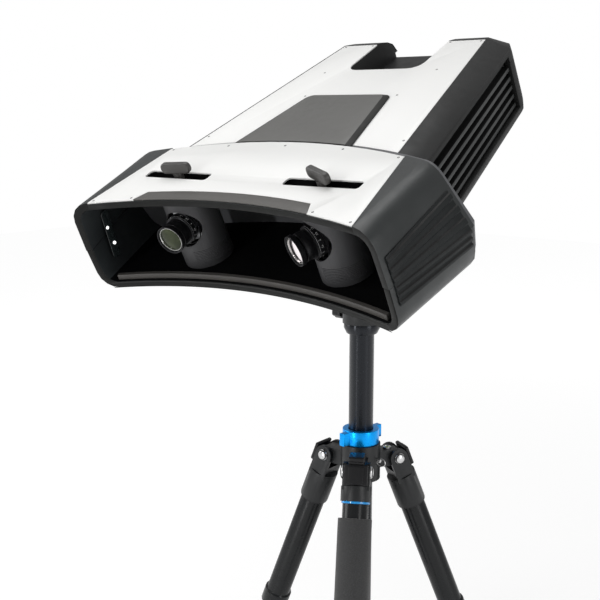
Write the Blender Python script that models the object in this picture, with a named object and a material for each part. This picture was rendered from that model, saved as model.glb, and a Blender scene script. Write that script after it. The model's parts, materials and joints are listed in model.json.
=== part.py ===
"""A structured-light three-d scanner on a photographic tripod, in metres, +Z up.

The scanner is modelled in its own frame: X to its right, Y to its back, Z up, with the origin at the
middle of the visor's front top edge. It is pitched nose down on the tripod's head. The whole object
stands on the floor with its origin at the bottom centre of its bounding box.
"""

from math import acos, cos, pi, radians, sin, sqrt, tan

import bmesh
import bpy
from mathutils import Matrix, Vector

# Gaps between pieces
SEAT_GAP = 0.0003
GRIP_GAP = 0.0007
ARC_GAP = 0.0007
RUNNING_GAP = 0.0006
SWING_GAP = 0.0013
OVERRUN = 0.010

# Pose of the scanner on the tripod
PITCH = radians(26.8)
TILT_AXIS_BACK = 0.2568
TILT_AXIS_BELOW_BODY = 0.0575

# Visor: a shell ruled between a front arc and a rear arc
VISOR_FRONT_RADIUS = 0.857
VISOR_REAR_RADIUS = 0.725
VISOR_DEPTH = 0.159
VISOR_HEIGHT = 0.1415
VISOR_WALL = 0.010
VISOR_CEILING_WALL = 0.011
VISOR_FRONT_TOP_HALF = 0.2565
VISOR_FRONT_SIDE_HALF = 0.2605
VISOR_FRONT_BOTTOM_HALF = 0.260
VISOR_FRONT_SEAM = 0.075
VISOR_FRONT_TOP_FILLET = 0.0295
VISOR_FRONT_BOTTOM_FILLET = 0.028
VISOR_REAR_TOP_HALF = 0.251
VISOR_REAR_SIDE_HALF = 0.299
VISOR_REAR_BOTTOM_HALF = 0.284
VISOR_REAR_SEAM = 0.070
VISOR_REAR_TOP_FILLET = 0.035
VISOR_REAR_BOTTOM_FILLET = 0.042
VISOR_INNER_FILLET = 0.018

# Plates and trim on the visor
PLATE_THICKNESS = 0.002
VISOR_PLATE_FRONT_HALF = 0.226
VISOR_PLATE_REAR_HALF = 0.202
VISOR_PLATE_MARGIN = 0.0012
VISOR_PLATE_REAR_MARGIN = 0.003
BROW_FRONT_HALF = 0.150
BROW_REAR_HALF = 0.140
BROW_DEPTH = 0.021
COLLAR_THICKNESS = 0.008
COLLAR_INSET = 0.005
GRIP_BASE = 0.0012
GRIP_RIB_HEIGHT = 0.0022

# Slots for the camera levers
SLOT_LENGTH = 0.118
SLOT_WIDTH = 0.018
SLOT_FILLET = 0.005
SLOT_OUT = 0.125
SPINDLE_BACK = 0.0562
SPINDLE_OUT = 0.123

# Rear body
BODY_TOP_DROP = 0.005
BODY_SEAM = 0.038
BODY_BOTTOM = 0.128
BODY_FRONT = 0.100
BODY_STRAIGHT_END = 0.490
BODY_END_ROUNDING = 0.047
BODY_END_DROP = 0.033
BODY_END_RAISE = 0.026
BODY_END_INSET = 0.032
BODY_PLATE_FRONT_HALF = 0.1872
BODY_PLATE_REAR_HALF = 0.128
BODY_PLATE_RIM = 0.0022
BODY_CHAMFER_FRONT_WIDTH = 0.0345
BODY_CHAMFER_REAR_WIDTH = 0.0355
BODY_SIDE_FLARE = 0.0015
BODY_BOTTOM_FLARE = 0.004
BODY_BOTTOM_FILLET = 0.016
BODY_TOP_WALL = 0.008
BODY_SIDE_WALL = 0.010
BODY_FLOOR_WALL = 0.006
NOTCH_HALF = 0.0655
NOTCH_FRONT = 0.394
NOTCH_FILLET = 0.020
NOTCH_FLOOR = 0.045
NOTCH_WALL = 0.004
LOUVRE_FRONT = 0.168
LOUVRE_REAR = 0.477
LOUVRE_TOP = 0.029
LOUVRE_BOTTOM = 0.109
LOUVRE_PLATE = 0.003
LOUVRE_FLANGE = 0.004
LOUVRE_FIN_DEPTH = 0.0095
COVER_REAR = 0.300
COVER_FRONT_HALF = 0.109
COVER_REAR_HALF = 0.0655
COVER_FILLET = 0.010
COVER_FLARE = 0.008
COVER_EDGE = 0.0012
COVER_THICKNESS = 0.0042
PANEL_HALF = 0.055
PANEL_TOP = 0.066
PANEL_HEIGHT = 0.034
PANEL_THICKNESS = 0.0018
SOCKET_WIDTH = 0.014
SOCKET_HEIGHT = 0.010
SOCKET_DEPTH = 0.003
BUTTON_OUT = 0.082
BUTTON_RADIUS = 0.007
BUTTON_LENGTH = 0.011
BUTTON_PROUD = 0.003

# Parts inside the rear body
PROJECTOR_HALF = 0.085
PROJECTOR_FRONT = 0.180
PROJECTOR_LENGTH = 0.140
PROJECTOR_HEIGHT = 0.096
OPTICS_BELOW = 0.066
PROJECTOR_LENS_RADIUS = 0.030
PROJECTOR_LENS_REACH = 0.048
PROJECTOR_LENS_RECESS = 0.006
PROJECTOR_LENS_RIM = 0.004
BOARD_HALF = 0.090
BOARD_FRONT = 0.350
BOARD_LENGTH = 0.110
BOARD_THICKNESS = 0.0016
BOARD_POST_HEIGHT = 0.010
BOARD_POST = 0.008
CHIP_SIZE = 0.030
CHIP_HEIGHT = 0.012
FAN_SIZE = 0.060
FAN_DEPTH = 0.020
FAN_FRONT = 0.405
FAN_WALL = 0.003
FAN_HUB_RADIUS = 0.012
FAN_PIN_RADIUS = 0.003
FAN_BLADE_THICKNESS = 0.002
FAN_BLADE_DEPTH = 0.010
FAN_SPOKE = 0.004
FAN_SIDE_CLEARANCE = 0.0202
FAN_BLADE_PITCH = radians(35)

# Camera units behind the visor's window
RAIL_HALF = 0.210
RAIL_WIDTH = 0.046
RAIL_THICKNESS = 0.0027
RAIL_WINDOW_START = 0.050
RAIL_WINDOW_END = 0.196
RAIL_WINDOW_WIDTH = 0.018
CARRIAGE_LENGTH = 0.048
CARRIAGE_WIDTH = 0.030
CARRIAGE_THICKNESS = 0.0077
CARRIAGE_BOSS_LENGTH = 0.040
SPINDLE_RADIUS = 0.005
LEVER_LENGTH = 0.050
LEVER_THICKNESS = 0.008
LEVER_HEIGHT = 0.015
LEVER_LIFT = 0.0035
LEVER_NECK = 0.014
LEVER_LOW_FILLET = 0.005
LEVER_TOP_FILLET = 0.0068
COWL_RADIUS = 0.036
COWL_WALL = 0.003
COWL_BACK = 0.024
COWL_WINDOW_RADIUS = 0.028
CAMERA_HALF = 0.019
CAMERA_HEIGHT = 0.050
CAMERA_BRACKET = 0.024
BARREL_RADIUS = 0.015
BARREL_RIM_RADIUS = 0.021
BARREL_RIM_DEPTH = 0.006
BARREL_RECESS_RADIUS = 0.018
BARREL_RECESS_DEPTH = 0.0048
LENS_REACH = 0.0625
APERTURE_RING_RADIUS = 0.0224
APERTURE_RING_START = 0.027
APERTURE_RING_LENGTH = 0.012
FOCUS_RING_RADIUS = 0.020
FOCUS_RING_LENGTH = 0.014
GLASS_THICKNESS = 0.002
LEFT_CAMERA_TURN = radians(5.9)
RIGHT_CAMERA_TURN = radians(-24.3)

# Tilting platform and head
MOUNT_PLATE_HALF = 0.030
MOUNT_PLATE_LENGTH = 0.084
MOUNT_PLATE_THICKNESS = 0.008
PLATFORM_HALF = 0.032
PLATFORM_LENGTH = 0.090
PLATFORM_THICKNESS = 0.012
LUG_HALF = 0.0117
LUG_RADIUS = 0.020
CHEEK_THICKNESS = 0.012
CHEEK_RADIUS = 0.022
AXLE_RADIUS = 0.006
HEAD_HEIGHT = 0.1567
HEAD_BASE_RADIUS = 0.030
HEAD_BASE_HEIGHT = 0.046
TILT_KNOB_RADIUS = 0.019
TILT_KNOB_LENGTH = 0.024
KNOB_STEM_RADIUS = 0.005
KNOB_STEM_LENGTH = 0.004
KNOB_CHAMFER = 0.002
PAN_KNOB_RADIUS = 0.0135
PAN_KNOB_LENGTH = 0.015
PAN_KNOB_LIFT = 0.0145

# Column and hub
COLUMN_RADIUS = 0.0191
COLUMN_LENGTH = 0.480
COLUMN_SHOWN = 0.152
DISC_RADIUS = 0.028
DISC_HEIGHT = 0.016
DISC_ROUNDING = 0.009
COLUMN_COLLAR_RADIUS = 0.0285
COLUMN_COLLAR_HEIGHT = 0.023
WING_REACH = 0.041
WING_WIDTH = 0.010
WING_HEIGHT = 0.020
HUB_RADIUS = 0.031
HUB_HEIGHT = 0.057
HUB_ARM_HALF = 0.0145
HUB_ARM_RADIUS = 0.0125
HINGE_RADIUS = 0.0582
HINGE_DROP = 0.0280
COLLAR_TURN = radians(80)

# Legs
LEG_COUNT = 3
FRONT_LEG_AZIMUTH = radians(30.5)
LEG_SPLAY = radians(22.2)
LEG_LENGTH = 0.600
BOLT_RADIUS = 0.006
BOLT_HEAD_RADIUS = 0.008
BOLT_HEAD_LENGTH = 0.004
YOKE_HALF = 0.0205
YOKE_DEPTH = 0.015
YOKE_SLOT_DEPTH = 0.020
YOKE_BLOCK_LENGTH = 0.040
FRONT_BLOCK_LENGTH = 0.028
SOCKET_RADIUS = 0.0232
SOCKET_END = 0.087
FRONT_SOCKET_END = 0.0445
SOCKET_LAP = 0.006
UPPER_TUBE_RADIUS = 0.0198
UPPER_TUBE_END = 0.320
LOWER_TUBE_RADIUS = 0.0155
LOWER_TUBE_START = 0.110
LEG_LOCK_RADIUS = 0.023
LEG_LOCK_LENGTH = 0.030
FOOT_RADIUS = 0.0172
FOOT_LENGTH = 0.030
FOOT_FLAT = 0.0015
FOAM_RADIUS = 0.0258
FOAM_START = 0.0695
FOAM_LENGTH = 0.215
LATCH_HALF = 0.0185
LATCH_LENGTH = 0.031
LATCH_THICKNESS = 0.006
LATCH_START = -0.0095

# Counts
ARC_PIECES = 12
FILLET_PIECES = 4
SIDE_PIECES = 4
DEPTH_PIECES = 6
GRIP_RIBS = 6
LOUVRE_FINS = 5
ROUND_SIDES = 24
TUBE_SIDES = 20
FAN_BLADES = 7

# Where things lie along a length that they share, as parts of it
END_STATION_SHARES = ((0, 0, 0), (0.34, 0.14, 0.25), (0.57, 0.27, 0.44), (0.83, 0.52, 0.69), (1, 1, 1))
GRIP_REACH_SHARES = (0.06, 0.95)
GRIP_SPAN_SHARES = (0.22, 1.72)
RIB_FOOT_SHARE = 0.30
RIB_CREST_SHARE = 0.18
CHAMFER_SHARE = 0.5
TOP_WALL_EDGE_SHARE = 0.6
FIN_SPAN_SHARES = (0.13, 1)
FIN_FOOT_SHARE = 0.34
FIN_CREST_SHARE = 0.20
CHIP_SHARES = ((-0.5, 0.3), (0.1, 0.3), (0.6, 0.65), (-0.55, 0.72))
SOCKET_SHARES = (-0.7, -0.35, 0, 0.35, 0.7)
KNOB_LOBE_SHARE = 0.14


# Shape helpers


def mesh_of(bm):
    bmesh.ops.remove_doubles(bm, verts=bm.verts, dist=SEAT_GAP / 100)
    bmesh.ops.recalc_face_normals(bm, faces=bm.faces)
    mesh = bpy.data.meshes.new("shape")
    bm.to_mesh(mesh)
    bm.free()
    return mesh


def mix(a, b, share):
    return a + (b - a) * share


def fillet(before, corner, after, radius, pieces=FILLET_PIECES):
    """Points of the arc that rounds a corner."""
    back = (before - corner).normalized()
    ahead = (after - corner).normalized()
    half = back.angle(ahead) / 2
    centre = corner + (back + ahead).normalized() * radius / sin(half)
    start = corner + back * radius / tan(half) - centre
    end = corner + ahead * radius / tan(half) - centre
    turn = start.angle(end)
    shares = [i / pieces for i in range(pieces + 1)]
    return [centre + (start * sin((1 - s) * turn) + end * sin(s * turn)) / sin(turn) for s in shares]


def rounded(corners, radii, pieces=FILLET_PIECES):
    """A closed outline with each corner rounded by its radius, or left sharp where that is zero."""
    points = []
    for i, (corner, radius) in enumerate(zip(corners, radii)):
        before, after = corners[i - 1], corners[(i + 1) % len(corners)]
        points += fillet(before, corner, after, radius, pieces) if radius else [corner]
    return points


def rectangle(half_width, low, high, radius=0, pieces=FILLET_PIECES):
    corners = [(-half_width, low), (half_width, low), (half_width, high), (-half_width, high)]
    return rounded([Vector(c) for c in corners], [radius] * len(corners), pieces)


def lug_outline(radius, reach):
    """A half circle below zero, continued straight up to the reach."""
    count = ROUND_SIDES // 2
    angles = [pi + pi * i / count for i in range(count + 1)]
    arc = [Vector((radius * cos(a), radius * sin(a))) for a in angles]
    return arc + [Vector((radius, reach)), Vector((-radius, reach))]


def mirrored(half):
    """A whole outline from its right half."""
    return [Vector((-p[0], p[1])) for p in reversed(half)] + [Vector(p) for p in half]


def loft(rings):
    """A solid through closed rings of equally many points, with a flat cap at each end."""
    bm = bmesh.new()
    layers = [[bm.verts.new(p) for p in ring] for ring in rings]
    for near, far in zip(layers, layers[1:]):
        for i in range(len(near)):
            j = (i + 1) % len(near)
            bm.faces.new((near[i], near[j], far[j], far[i]))
    bm.faces.new(reversed(layers[0]))
    bm.faces.new(layers[-1])
    return mesh_of(bm)


def shell(outer, inner):
    """A wall between two skins, each a list of open paths of equally many points."""
    bm = bmesh.new()
    skins = [[[bm.verts.new(p) for p in path] for path in skin] for skin in (outer, inner)]
    for skin in skins:
        for near, far in zip(skin, skin[1:]):
            for i in range(len(near) - 1):
                bm.faces.new((near[i], near[i + 1], far[i + 1], far[i]))
    for end in (0, -1):
        out, back = skins[0][end], skins[1][end]
        for i in range(len(out) - 1):
            bm.faces.new((out[i], out[i + 1], back[i + 1], back[i]))
        for near in range(len(skins[0]) - 1):
            a, b = skins[0][near][end], skins[0][near + 1][end]
            c, d = skins[1][near + 1][end], skins[1][near][end]
            bm.faces.new((a, b, c, d))
    return mesh_of(bm)


def prism(outline, low, high):
    """An outline in X and Y, extruded from one height to another."""
    return loft([[Vector((p[0], p[1], z)) for p in outline] for z in (low, high)])


def prism_along(axis, outline, low, high):
    """An outline extruded along X, its points at (y, z), or along Y, its points at (x, z)."""
    if axis == "X":
        return loft([[Vector((x, p[0], p[1])) for p in outline] for x in (low, high)])
    return loft([[Vector((p[0], y, p[1])) for p in outline] for y in (low, high)])


def box(low, high):
    (x0, y0, z0), (x1, y1, z1) = low, high
    return prism([(x0, y0), (x1, y0), (x1, y1), (x0, y1)], z0, z1)


def turned(profile, sides=ROUND_SIDES, turn=None):
    """A profile of (radius, height) points turned about Z, and then turned by the matrix."""
    bm = bmesh.new()
    rings = []
    for radius, height in profile:
        if radius:
            angles = [2 * pi * i / sides for i in range(sides)]
            rings.append([bm.verts.new((radius * cos(a), radius * sin(a), height)) for a in angles])
        else:
            rings.append([bm.verts.new((0, 0, height))] * sides)
    ends = list(zip(rings, rings[1:]))
    if profile[0][0] and profile[-1][0]:
        ends.append((rings[-1], rings[0]))
    for near, far in ends:
        for i in range(sides):
            j = (i + 1) % sides
            corners = dict.fromkeys((near[i], near[j], far[j], far[i]))
            if len(corners) > 2:
                bm.faces.new(list(corners))
    if turn:
        bm.transform(turn)
    return mesh_of(bm)


def rod(radius, low, high, sides=ROUND_SIDES, turn=None):
    return turned([(0, low), (radius, low), (radius, high), (0, high)], sides, turn)


def tube(outer, inner, low, high, sides=ROUND_SIDES, turn=None):
    return turned([(outer, low), (outer, high), (inner, high), (inner, low)], sides, turn)


def moved(mesh, offset, turn=None):
    if turn:
        mesh.transform(turn)
    mesh.transform(Matrix.Translation(offset))
    return mesh


ALONG_X = Matrix.Rotation(radians(90), 4, "Y")
FORWARD = Matrix.Rotation(radians(90), 4, "X")


def worked(mesh, steps):
    """The mesh after Boolean steps, each an operation and the mesh that it uses."""
    target = bpy.data.objects.new("target", mesh)
    bpy.context.scene.collection.objects.link(target)
    tools = []
    for operation, tool_mesh in steps:
        tool = bpy.data.objects.new("tool", tool_mesh)
        tool.hide_render = True
        tool.display_type = "WIRE"
        bpy.context.scene.collection.objects.link(tool)
        modifier = target.modifiers.new(operation, "BOOLEAN")
        modifier.operation = operation
        modifier.object = tool
        tools.append(tool)
    bpy.context.view_layer.update()
    graph = bpy.context.evaluated_depsgraph_get()
    result = bpy.data.meshes.new_from_object(target.evaluated_get(graph))
    for used in [target] + tools:
        bpy.data.objects.remove(used, do_unlink=True)
    return result


def joined(first, *others):
    return worked(first, [("UNION", other) for other in others])


def cut(mesh, *cutters):
    return worked(mesh, [("DIFFERENCE", cutter) for cutter in cutters])


def material(name, colour, roughness, metallic=0.0):
    made = bpy.data.materials.new(name)
    made.use_nodes = True
    shader = made.node_tree.nodes["Principled BSDF"]
    shader.inputs["Base Color"].default_value = (*colour, 1)
    shader.inputs["Roughness"].default_value = roughness
    shader.inputs["Metallic"].default_value = metallic
    made.diffuse_color = (*colour, 1)
    return made


def place(name, mesh, made_of, parent, location=(0, 0, 0)):
    mesh = mesh.copy()
    mesh.materials.clear()
    mesh.materials.append(made_of)
    mesh.shade_smooth()
    mesh.set_sharp_from_angle(angle=radians(35))
    piece = bpy.data.objects.new(name, mesh)
    piece.parent = parent
    piece.location = location
    bpy.context.scene.collection.objects.link(piece)
    return piece


def frame(name, parent, location=(0, 0, 0), turn=(0, 0, 0)):
    empty = bpy.data.objects.new(name, None)
    empty.parent = parent
    empty.location = location
    empty.rotation_euler = turn
    bpy.context.scene.collection.objects.link(empty)
    return empty


# Outlines of the visor


def front_arc(x):
    return sqrt(VISOR_FRONT_RADIUS**2 - x**2) - VISOR_FRONT_RADIUS


def rear_arc(x):
    return VISOR_DEPTH + sqrt(VISOR_REAR_RADIUS**2 - x**2) - VISOR_REAR_RADIUS


FRONT_SECTION = {
    "plate": VISOR_PLATE_FRONT_HALF,
    "top": (VISOR_FRONT_TOP_HALF, VISOR_FRONT_TOP_FILLET),
    "side": (VISOR_FRONT_SIDE_HALF, VISOR_FRONT_SEAM),
    "bottom": (VISOR_FRONT_BOTTOM_HALF, VISOR_FRONT_BOTTOM_FILLET),
}
REAR_SECTION = {
    "plate": VISOR_PLATE_REAR_HALF,
    "top": (VISOR_REAR_TOP_HALF, VISOR_REAR_TOP_FILLET),
    "side": (VISOR_REAR_SIDE_HALF, VISOR_REAR_SEAM),
    "bottom": (VISOR_REAR_BOTTOM_HALF, VISOR_REAR_BOTTOM_FILLET),
}


def section_corners(section, inset=0, ceiling=0):
    top = Vector((section["top"][0] - inset, -ceiling))
    side = Vector((section["side"][0] - inset, -section["side"][1]))
    bottom = Vector((section["bottom"][0] - inset, inset - VISOR_HEIGHT))
    return top, side, bottom


def spaced(a, b, pieces, first=True, last=True):
    return [mix(a, b, i / pieces) for i in range(0 if first else 1, pieces + 1 if last else pieces)]


def upper_path(section, inner=False):
    """Half of the upper shell's section, from the middle of the top to the seam, at (x, z)."""
    inset, ceiling = (VISOR_WALL, VISOR_CEILING_WALL) if inner else (0, 0)
    top, side, bottom = section_corners(section, inset, ceiling)
    radius = max(section["top"][1] - inset, VISOR_INNER_FILLET) if inner else section["top"][1]
    corner = fillet(Vector((0, top.y)), top, side, radius)
    seat = -ceiling if inner else -PLATE_THICKNESS - SEAT_GAP
    edge = section["plate"] + SEAT_GAP
    middle = [Vector((edge * i / (ARC_PIECES / 2), seat)) for i in range(ARC_PIECES // 2 + 1)]
    step = corner[0].lerp(Vector((edge, corner[0].y)), 0.999)
    seam = side + Vector((0, SEAT_GAP / 2))
    return middle + [step] + corner + spaced(corner[-1], seam, SIDE_PIECES, first=False)


def lower_path(section, inner=False):
    """Half of the lower shell's section, from the seam to the middle of the bottom, at (x, z)."""
    top, side, bottom = section_corners(section, VISOR_WALL if inner else 0)
    radius = max(section["bottom"][1] - VISOR_WALL, VISOR_INNER_FILLET) if inner else section["bottom"][1]
    corner = fillet(side, bottom, Vector((0, bottom.y)), radius)
    seam = side - Vector((0, SEAT_GAP / 2))
    floor = spaced(corner[-1], Vector((0, bottom.y)), ARC_PIECES // 2, first=False)
    return spaced(seam, corner[0], SIDE_PIECES, last=False) + corner + floor


def whole_path(half):
    """A path across both sides, from a right half that starts or ends at the middle."""
    ordered = half if half[0].x < half[-1].x else half[::-1]
    left = [Vector((-p.x, p.y)) for p in reversed(ordered)]
    return left + ordered[1:]


def ruled(path_of, inner=False):
    """The visor's skin: a section's points joined straight from the front arc to the rear arc."""
    near = whole_path(path_of(FRONT_SECTION, inner))
    far = whole_path(path_of(REAR_SECTION, inner))
    rows = []
    for i in range(DEPTH_PIECES + 1):
        share = i / DEPTH_PIECES
        row = []
        for a, b in zip(near, far):
            start = Vector((a.x, front_arc(a.x), a.y))
            end = Vector((b.x, rear_arc(b.x), b.y))
            row.append(start.lerp(end, share))
        rows.append(row)
    return rows


def slot_cutter(side):
    half = SLOT_LENGTH / 2
    outline = rectangle(half, -SLOT_WIDTH / 2, SLOT_WIDTH / 2, SLOT_FILLET)
    cutter = prism(outline, -VISOR_CEILING_WALL - OVERRUN, OVERRUN)
    centre = Vector((side * SLOT_OUT, SPINDLE_BACK, 0))
    return moved(cutter, centre)


def arc_points(arc, half, offset=0, pieces=ARC_PIECES):
    """Points along an arc from left to right, at (x, y)."""
    xs = [half * (2 * i / pieces - 1) for i in range(pieces + 1)]
    return [Vector((x, arc(x) + offset)) for x in xs]


def brow_outline(clearance=0):
    front = arc_points(front_arc, BROW_FRONT_HALF + clearance, VISOR_PLATE_MARGIN)
    back = arc_points(front_arc, BROW_REAR_HALF + clearance, BROW_DEPTH + clearance)
    return front + back[::-1]


def visor_plate_outline():
    front = arc_points(front_arc, VISOR_PLATE_FRONT_HALF, VISOR_PLATE_MARGIN)
    back = arc_points(rear_arc, VISOR_PLATE_REAR_HALF, -VISOR_PLATE_REAR_MARGIN)
    return front + back[::-1]


def curved_plate(outline, arc, start, thickness):
    """A plate with its outline at (x, z), bent to follow an arc."""
    bm = bmesh.new()
    face = bm.faces.new([bm.verts.new((p[0], 0, p[1])) for p in outline])
    half = max(p[0] for p in outline)
    for i in range(1, ARC_PIECES):
        every = bm.verts[:] + bm.edges[:] + bm.faces[:]
        x = half * (2 * i / ARC_PIECES - 1)
        bmesh.ops.bisect_plane(bm, geom=every, dist=SEAT_GAP / 10, plane_co=(x, 0, 0), plane_no=(1, 0, 0))
    made = bmesh.ops.extrude_face_region(bm, geom=bm.faces[:])["geom"]
    bmesh.ops.translate(bm, vec=(0, thickness, 0), verts=[v for v in made if isinstance(v, bmesh.types.BMVert)])
    for vert in bm.verts:
        vert.co.y += start + arc(vert.co.x)
    return mesh_of(bm)


def rear_collar_outline():
    upper = section_corners(REAR_SECTION, COLLAR_INSET, COLLAR_INSET)
    top, side, bottom = upper
    middle = Vector((0, top.y))
    half = fillet(middle, top, side, REAR_SECTION["top"][1] - COLLAR_INSET)
    half += [side] + fillet(side, bottom, Vector((0, bottom.y)), REAR_SECTION["bottom"][1] - COLLAR_INSET)
    return mirrored(half)


def comb_path(span, teeth, foot, crest, point_at):
    """A path over teeth, from point_at(share, height share), and the path of its base below it."""
    outer, base = [], []
    start, end = span
    pitch = (end - start) / teeth
    for i in range(teeth):
        centre = start + (i + 0.5) * pitch
        for offset, height in ((-foot, 0), (-crest, 1), (crest, 1), (foot, 0)):
            outer.append(point_at(centre + offset * pitch, height))
            base.append(point_at(centre + offset * pitch, None))
    outer = [point_at(start, 0)] + outer + [point_at(end, 0)]
    base = [point_at(start, None)] + base + [point_at(end, None)]
    return outer, base


def side_grip():
    """The ribbed panel on the right side of the visor, following its ruled side wall."""
    corners = []
    for section in (FRONT_SECTION, REAR_SECTION):
        top, side, bottom = section_corners(section)
        start = fillet(Vector((0, top.y)), top, side, section["top"][1])[-1]
        end = fillet(side, bottom, Vector((0, bottom.y)), section["bottom"][1])[0]
        corners.append((start, side, end))

    def skin(section, share):
        start, side, end = corners[section]
        return mix(start, side, share) if share <= 1 else mix(side, end, share - 1)

    def along(share, depth):
        near, far = skin(0, share), skin(1, share)
        a = Vector((near.x, front_arc(near.x), near.y))
        b = Vector((far.x, rear_arc(far.x), far.y))
        return a.lerp(b, depth)

    def path(depth):
        def point_at(share, height):
            step = 1 / SIDE_PIECES
            across = along(share + step, depth) - along(share - step, depth)
            down = along(share, 1) - along(share, 0)
            outward = down.cross(across).normalized()
            outward = outward if outward.x > 0 else -outward
            lift = GRIP_GAP if height is None else GRIP_GAP + GRIP_BASE + GRIP_RIB_HEIGHT * height
            return along(share, depth) + outward * lift

        return comb_path(GRIP_SPAN_SHARES, GRIP_RIBS, RIB_FOOT_SHARE, RIB_CREST_SHARE, point_at)

    inside = [i / DEPTH_PIECES for i in range(1, DEPTH_PIECES)]
    depths = [GRIP_REACH_SHARES[0]] + inside + [GRIP_REACH_SHARES[1]]
    paths = [path(depth) for depth in depths]
    return shell([p[0] for p in paths], [p[1] for p in paths])


# Visor


def build_visor(scanner, paint):
    slots = [slot_cutter(side) for side in (-1, 1)]
    upper = cut(shell(ruled(upper_path), ruled(upper_path, inner=True)), *slots)
    place("visor_upper_shell", upper, paint["charcoal"], scanner)
    lower = shell(ruled(lower_path), ruled(lower_path, inner=True))
    place("visor_lower_shell", lower, paint["charcoal"], scanner)

    brow_room = prism(brow_outline(SEAT_GAP), -OVERRUN, OVERRUN)
    extra = prism([(p.x, p.y - 2 * VISOR_PLATE_MARGIN) for p in brow_outline(SEAT_GAP)], -OVERRUN, OVERRUN)
    slots = [slot_cutter(side) for side in (-1, 1)]
    plate = cut(prism(visor_plate_outline(), -PLATE_THICKNESS, 0), brow_room, extra, *slots)
    place("visor_top_plate", plate, paint["white"], scanner)
    place("brow_trim", prism(brow_outline(), -PLATE_THICKNESS, 0), paint["brown_grey"], scanner)

    collar = curved_plate(rear_collar_outline(), rear_arc, ARC_GAP, COLLAR_THICKNESS)
    hole = rod(PROJECTOR_LENS_RADIUS + SWING_GAP, -VISOR_DEPTH - 2 * OVERRUN, OVERRUN - VISOR_DEPTH, turn=FORWARD)
    hole = moved(hole, (0, 0, -OPTICS_BELOW))
    place("visor_rear_collar", cut(collar, hole), paint["light_grey"], scanner)

    grip = side_grip()
    place("side_grip_right", grip, paint["rubber"], scanner)
    left = grip.copy()
    left.transform(Matrix.Scale(-1, 4, (1, 0, 0)))
    left.flip_normals()
    place("side_grip_left", left, paint["rubber"], scanner)


# Rear body


def along_body(y, front_half, rear_half):
    """A half width of the body at a place along its length, which tapers to the back."""
    return mix(front_half, rear_half, (y - BODY_FRONT) / (BODY_STRAIGHT_END - BODY_FRONT))


def body_shoulder(y):
    front = BODY_PLATE_FRONT_HALF + BODY_CHAMFER_FRONT_WIDTH
    return along_body(y, front, BODY_PLATE_REAR_HALF + BODY_CHAMFER_REAR_WIDTH)


def body_side(y):
    return body_shoulder(y) + BODY_SIDE_FLARE


def visor_space(behind):
    """Everything in front of an arc that lies this far behind the visor's rear arc."""
    half = body_side(BODY_FRONT) + 2 * OVERRUN
    arc = arc_points(rear_arc, half, behind)
    outline = arc + [Vector((half, 0)), Vector((-half, 0))]
    return prism(outline, -BODY_BOTTOM - OVERRUN, OVERRUN)


def upper_ring(y, drop, inset, wall=0, reach=0):
    low = -BODY_SEAM - (OVERRUN if wall else reach)
    top = -BODY_TOP_DROP - drop - wall
    chamfer = mix(-BODY_TOP_DROP - drop, -BODY_SEAM, CHAMFER_SHARE) - wall / 2
    straight = min(y, BODY_STRAIGHT_END)
    plate = along_body(straight, BODY_PLATE_FRONT_HALF, BODY_PLATE_REAR_HALF) + BODY_PLATE_RIM - inset
    shoulder = body_shoulder(straight) - inset
    side = body_side(straight) - inset
    side_wall = BODY_SIDE_WALL if wall else 0
    half = [
        (plate - wall * TOP_WALL_EDGE_SHARE, top),
        (shoulder - side_wall, chamfer),
        (side - side_wall, low),
    ]
    return [Vector((p[0], y, p[1])) for p in mirrored(half)]


def lower_ring(y, rise, inset, wall=0):
    top = -BODY_SEAM - SEAT_GAP + (OVERRUN if wall else 0)
    straight = min(y, BODY_STRAIGHT_END)
    side_wall = BODY_SIDE_WALL if wall else 0
    side = body_side(straight) - inset - side_wall
    bottom = -BODY_BOTTOM + rise + wall
    corner = Vector((side + BODY_BOTTOM_FLARE, bottom))
    rim = Vector((side, top))
    half = [rim] + fillet(rim, corner, Vector((0, bottom)), BODY_BOTTOM_FILLET)
    return [Vector((p[0], y, p[1])) for p in mirrored(half)]


def body_stations(wall=0):
    """Where the body's sections lie, each with its drop, rise and inset at the rounded rear end."""
    yield BODY_FRONT - (OVERRUN if wall else 0), 0, 0, 0
    for along, low, narrow in END_STATION_SHARES:
        y = BODY_STRAIGHT_END + BODY_END_ROUNDING * along - wall
        yield y, BODY_END_DROP * drop_share(along, low), BODY_END_RAISE * along**3, BODY_END_INSET * narrow


def drop_share(along, low):
    return low if along < 1 else 1 - SEAT_GAP / BODY_END_DROP


def notch_outline(grow, reach):
    half = NOTCH_HALF + grow
    front = NOTCH_FRONT - grow
    corners = [(-half, reach), (-half, front), (half, front), (half, reach)]
    radius = NOTCH_FILLET + grow
    return rounded([Vector(c) for c in corners], [0, radius, radius, 0])


def plate_outline(grow):
    front = BODY_FRONT - OVERRUN if grow else BODY_FRONT
    rear = BODY_STRAIGHT_END - BODY_PLATE_RIM + grow
    near = along_body(front, BODY_PLATE_FRONT_HALF, BODY_PLATE_REAR_HALF) + grow
    far = along_body(rear, BODY_PLATE_FRONT_HALF, BODY_PLATE_REAR_HALF) + grow
    return [(-near, front), (near, front), (far, rear), (-far, rear)]


def cover_outline(flare):
    corners = [(COVER_FRONT_HALF + flare, VISOR_DEPTH / 2), (COVER_REAR_HALF + flare, COVER_REAR + flare / 2)]
    left = [Vector((-x, y)) for x, y in corners]
    right = [Vector((x, y)) for x, y in reversed(corners)]
    return rounded(left + right, [0, COVER_FILLET, COVER_FILLET, 0])


def louvre_opening(side):
    """The opening in the side wall of both shells, behind which the louvred panel sits."""
    outline = []
    for y, out in ((LOUVRE_FRONT, -2), (LOUVRE_REAR, -2), (LOUVRE_REAR, 1), (LOUVRE_FRONT, 1)):
        outline.append((side * (body_side(y) + out * BODY_SIDE_WALL), y))
    return prism(outline, -LOUVRE_BOTTOM, -LOUVRE_TOP)


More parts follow.
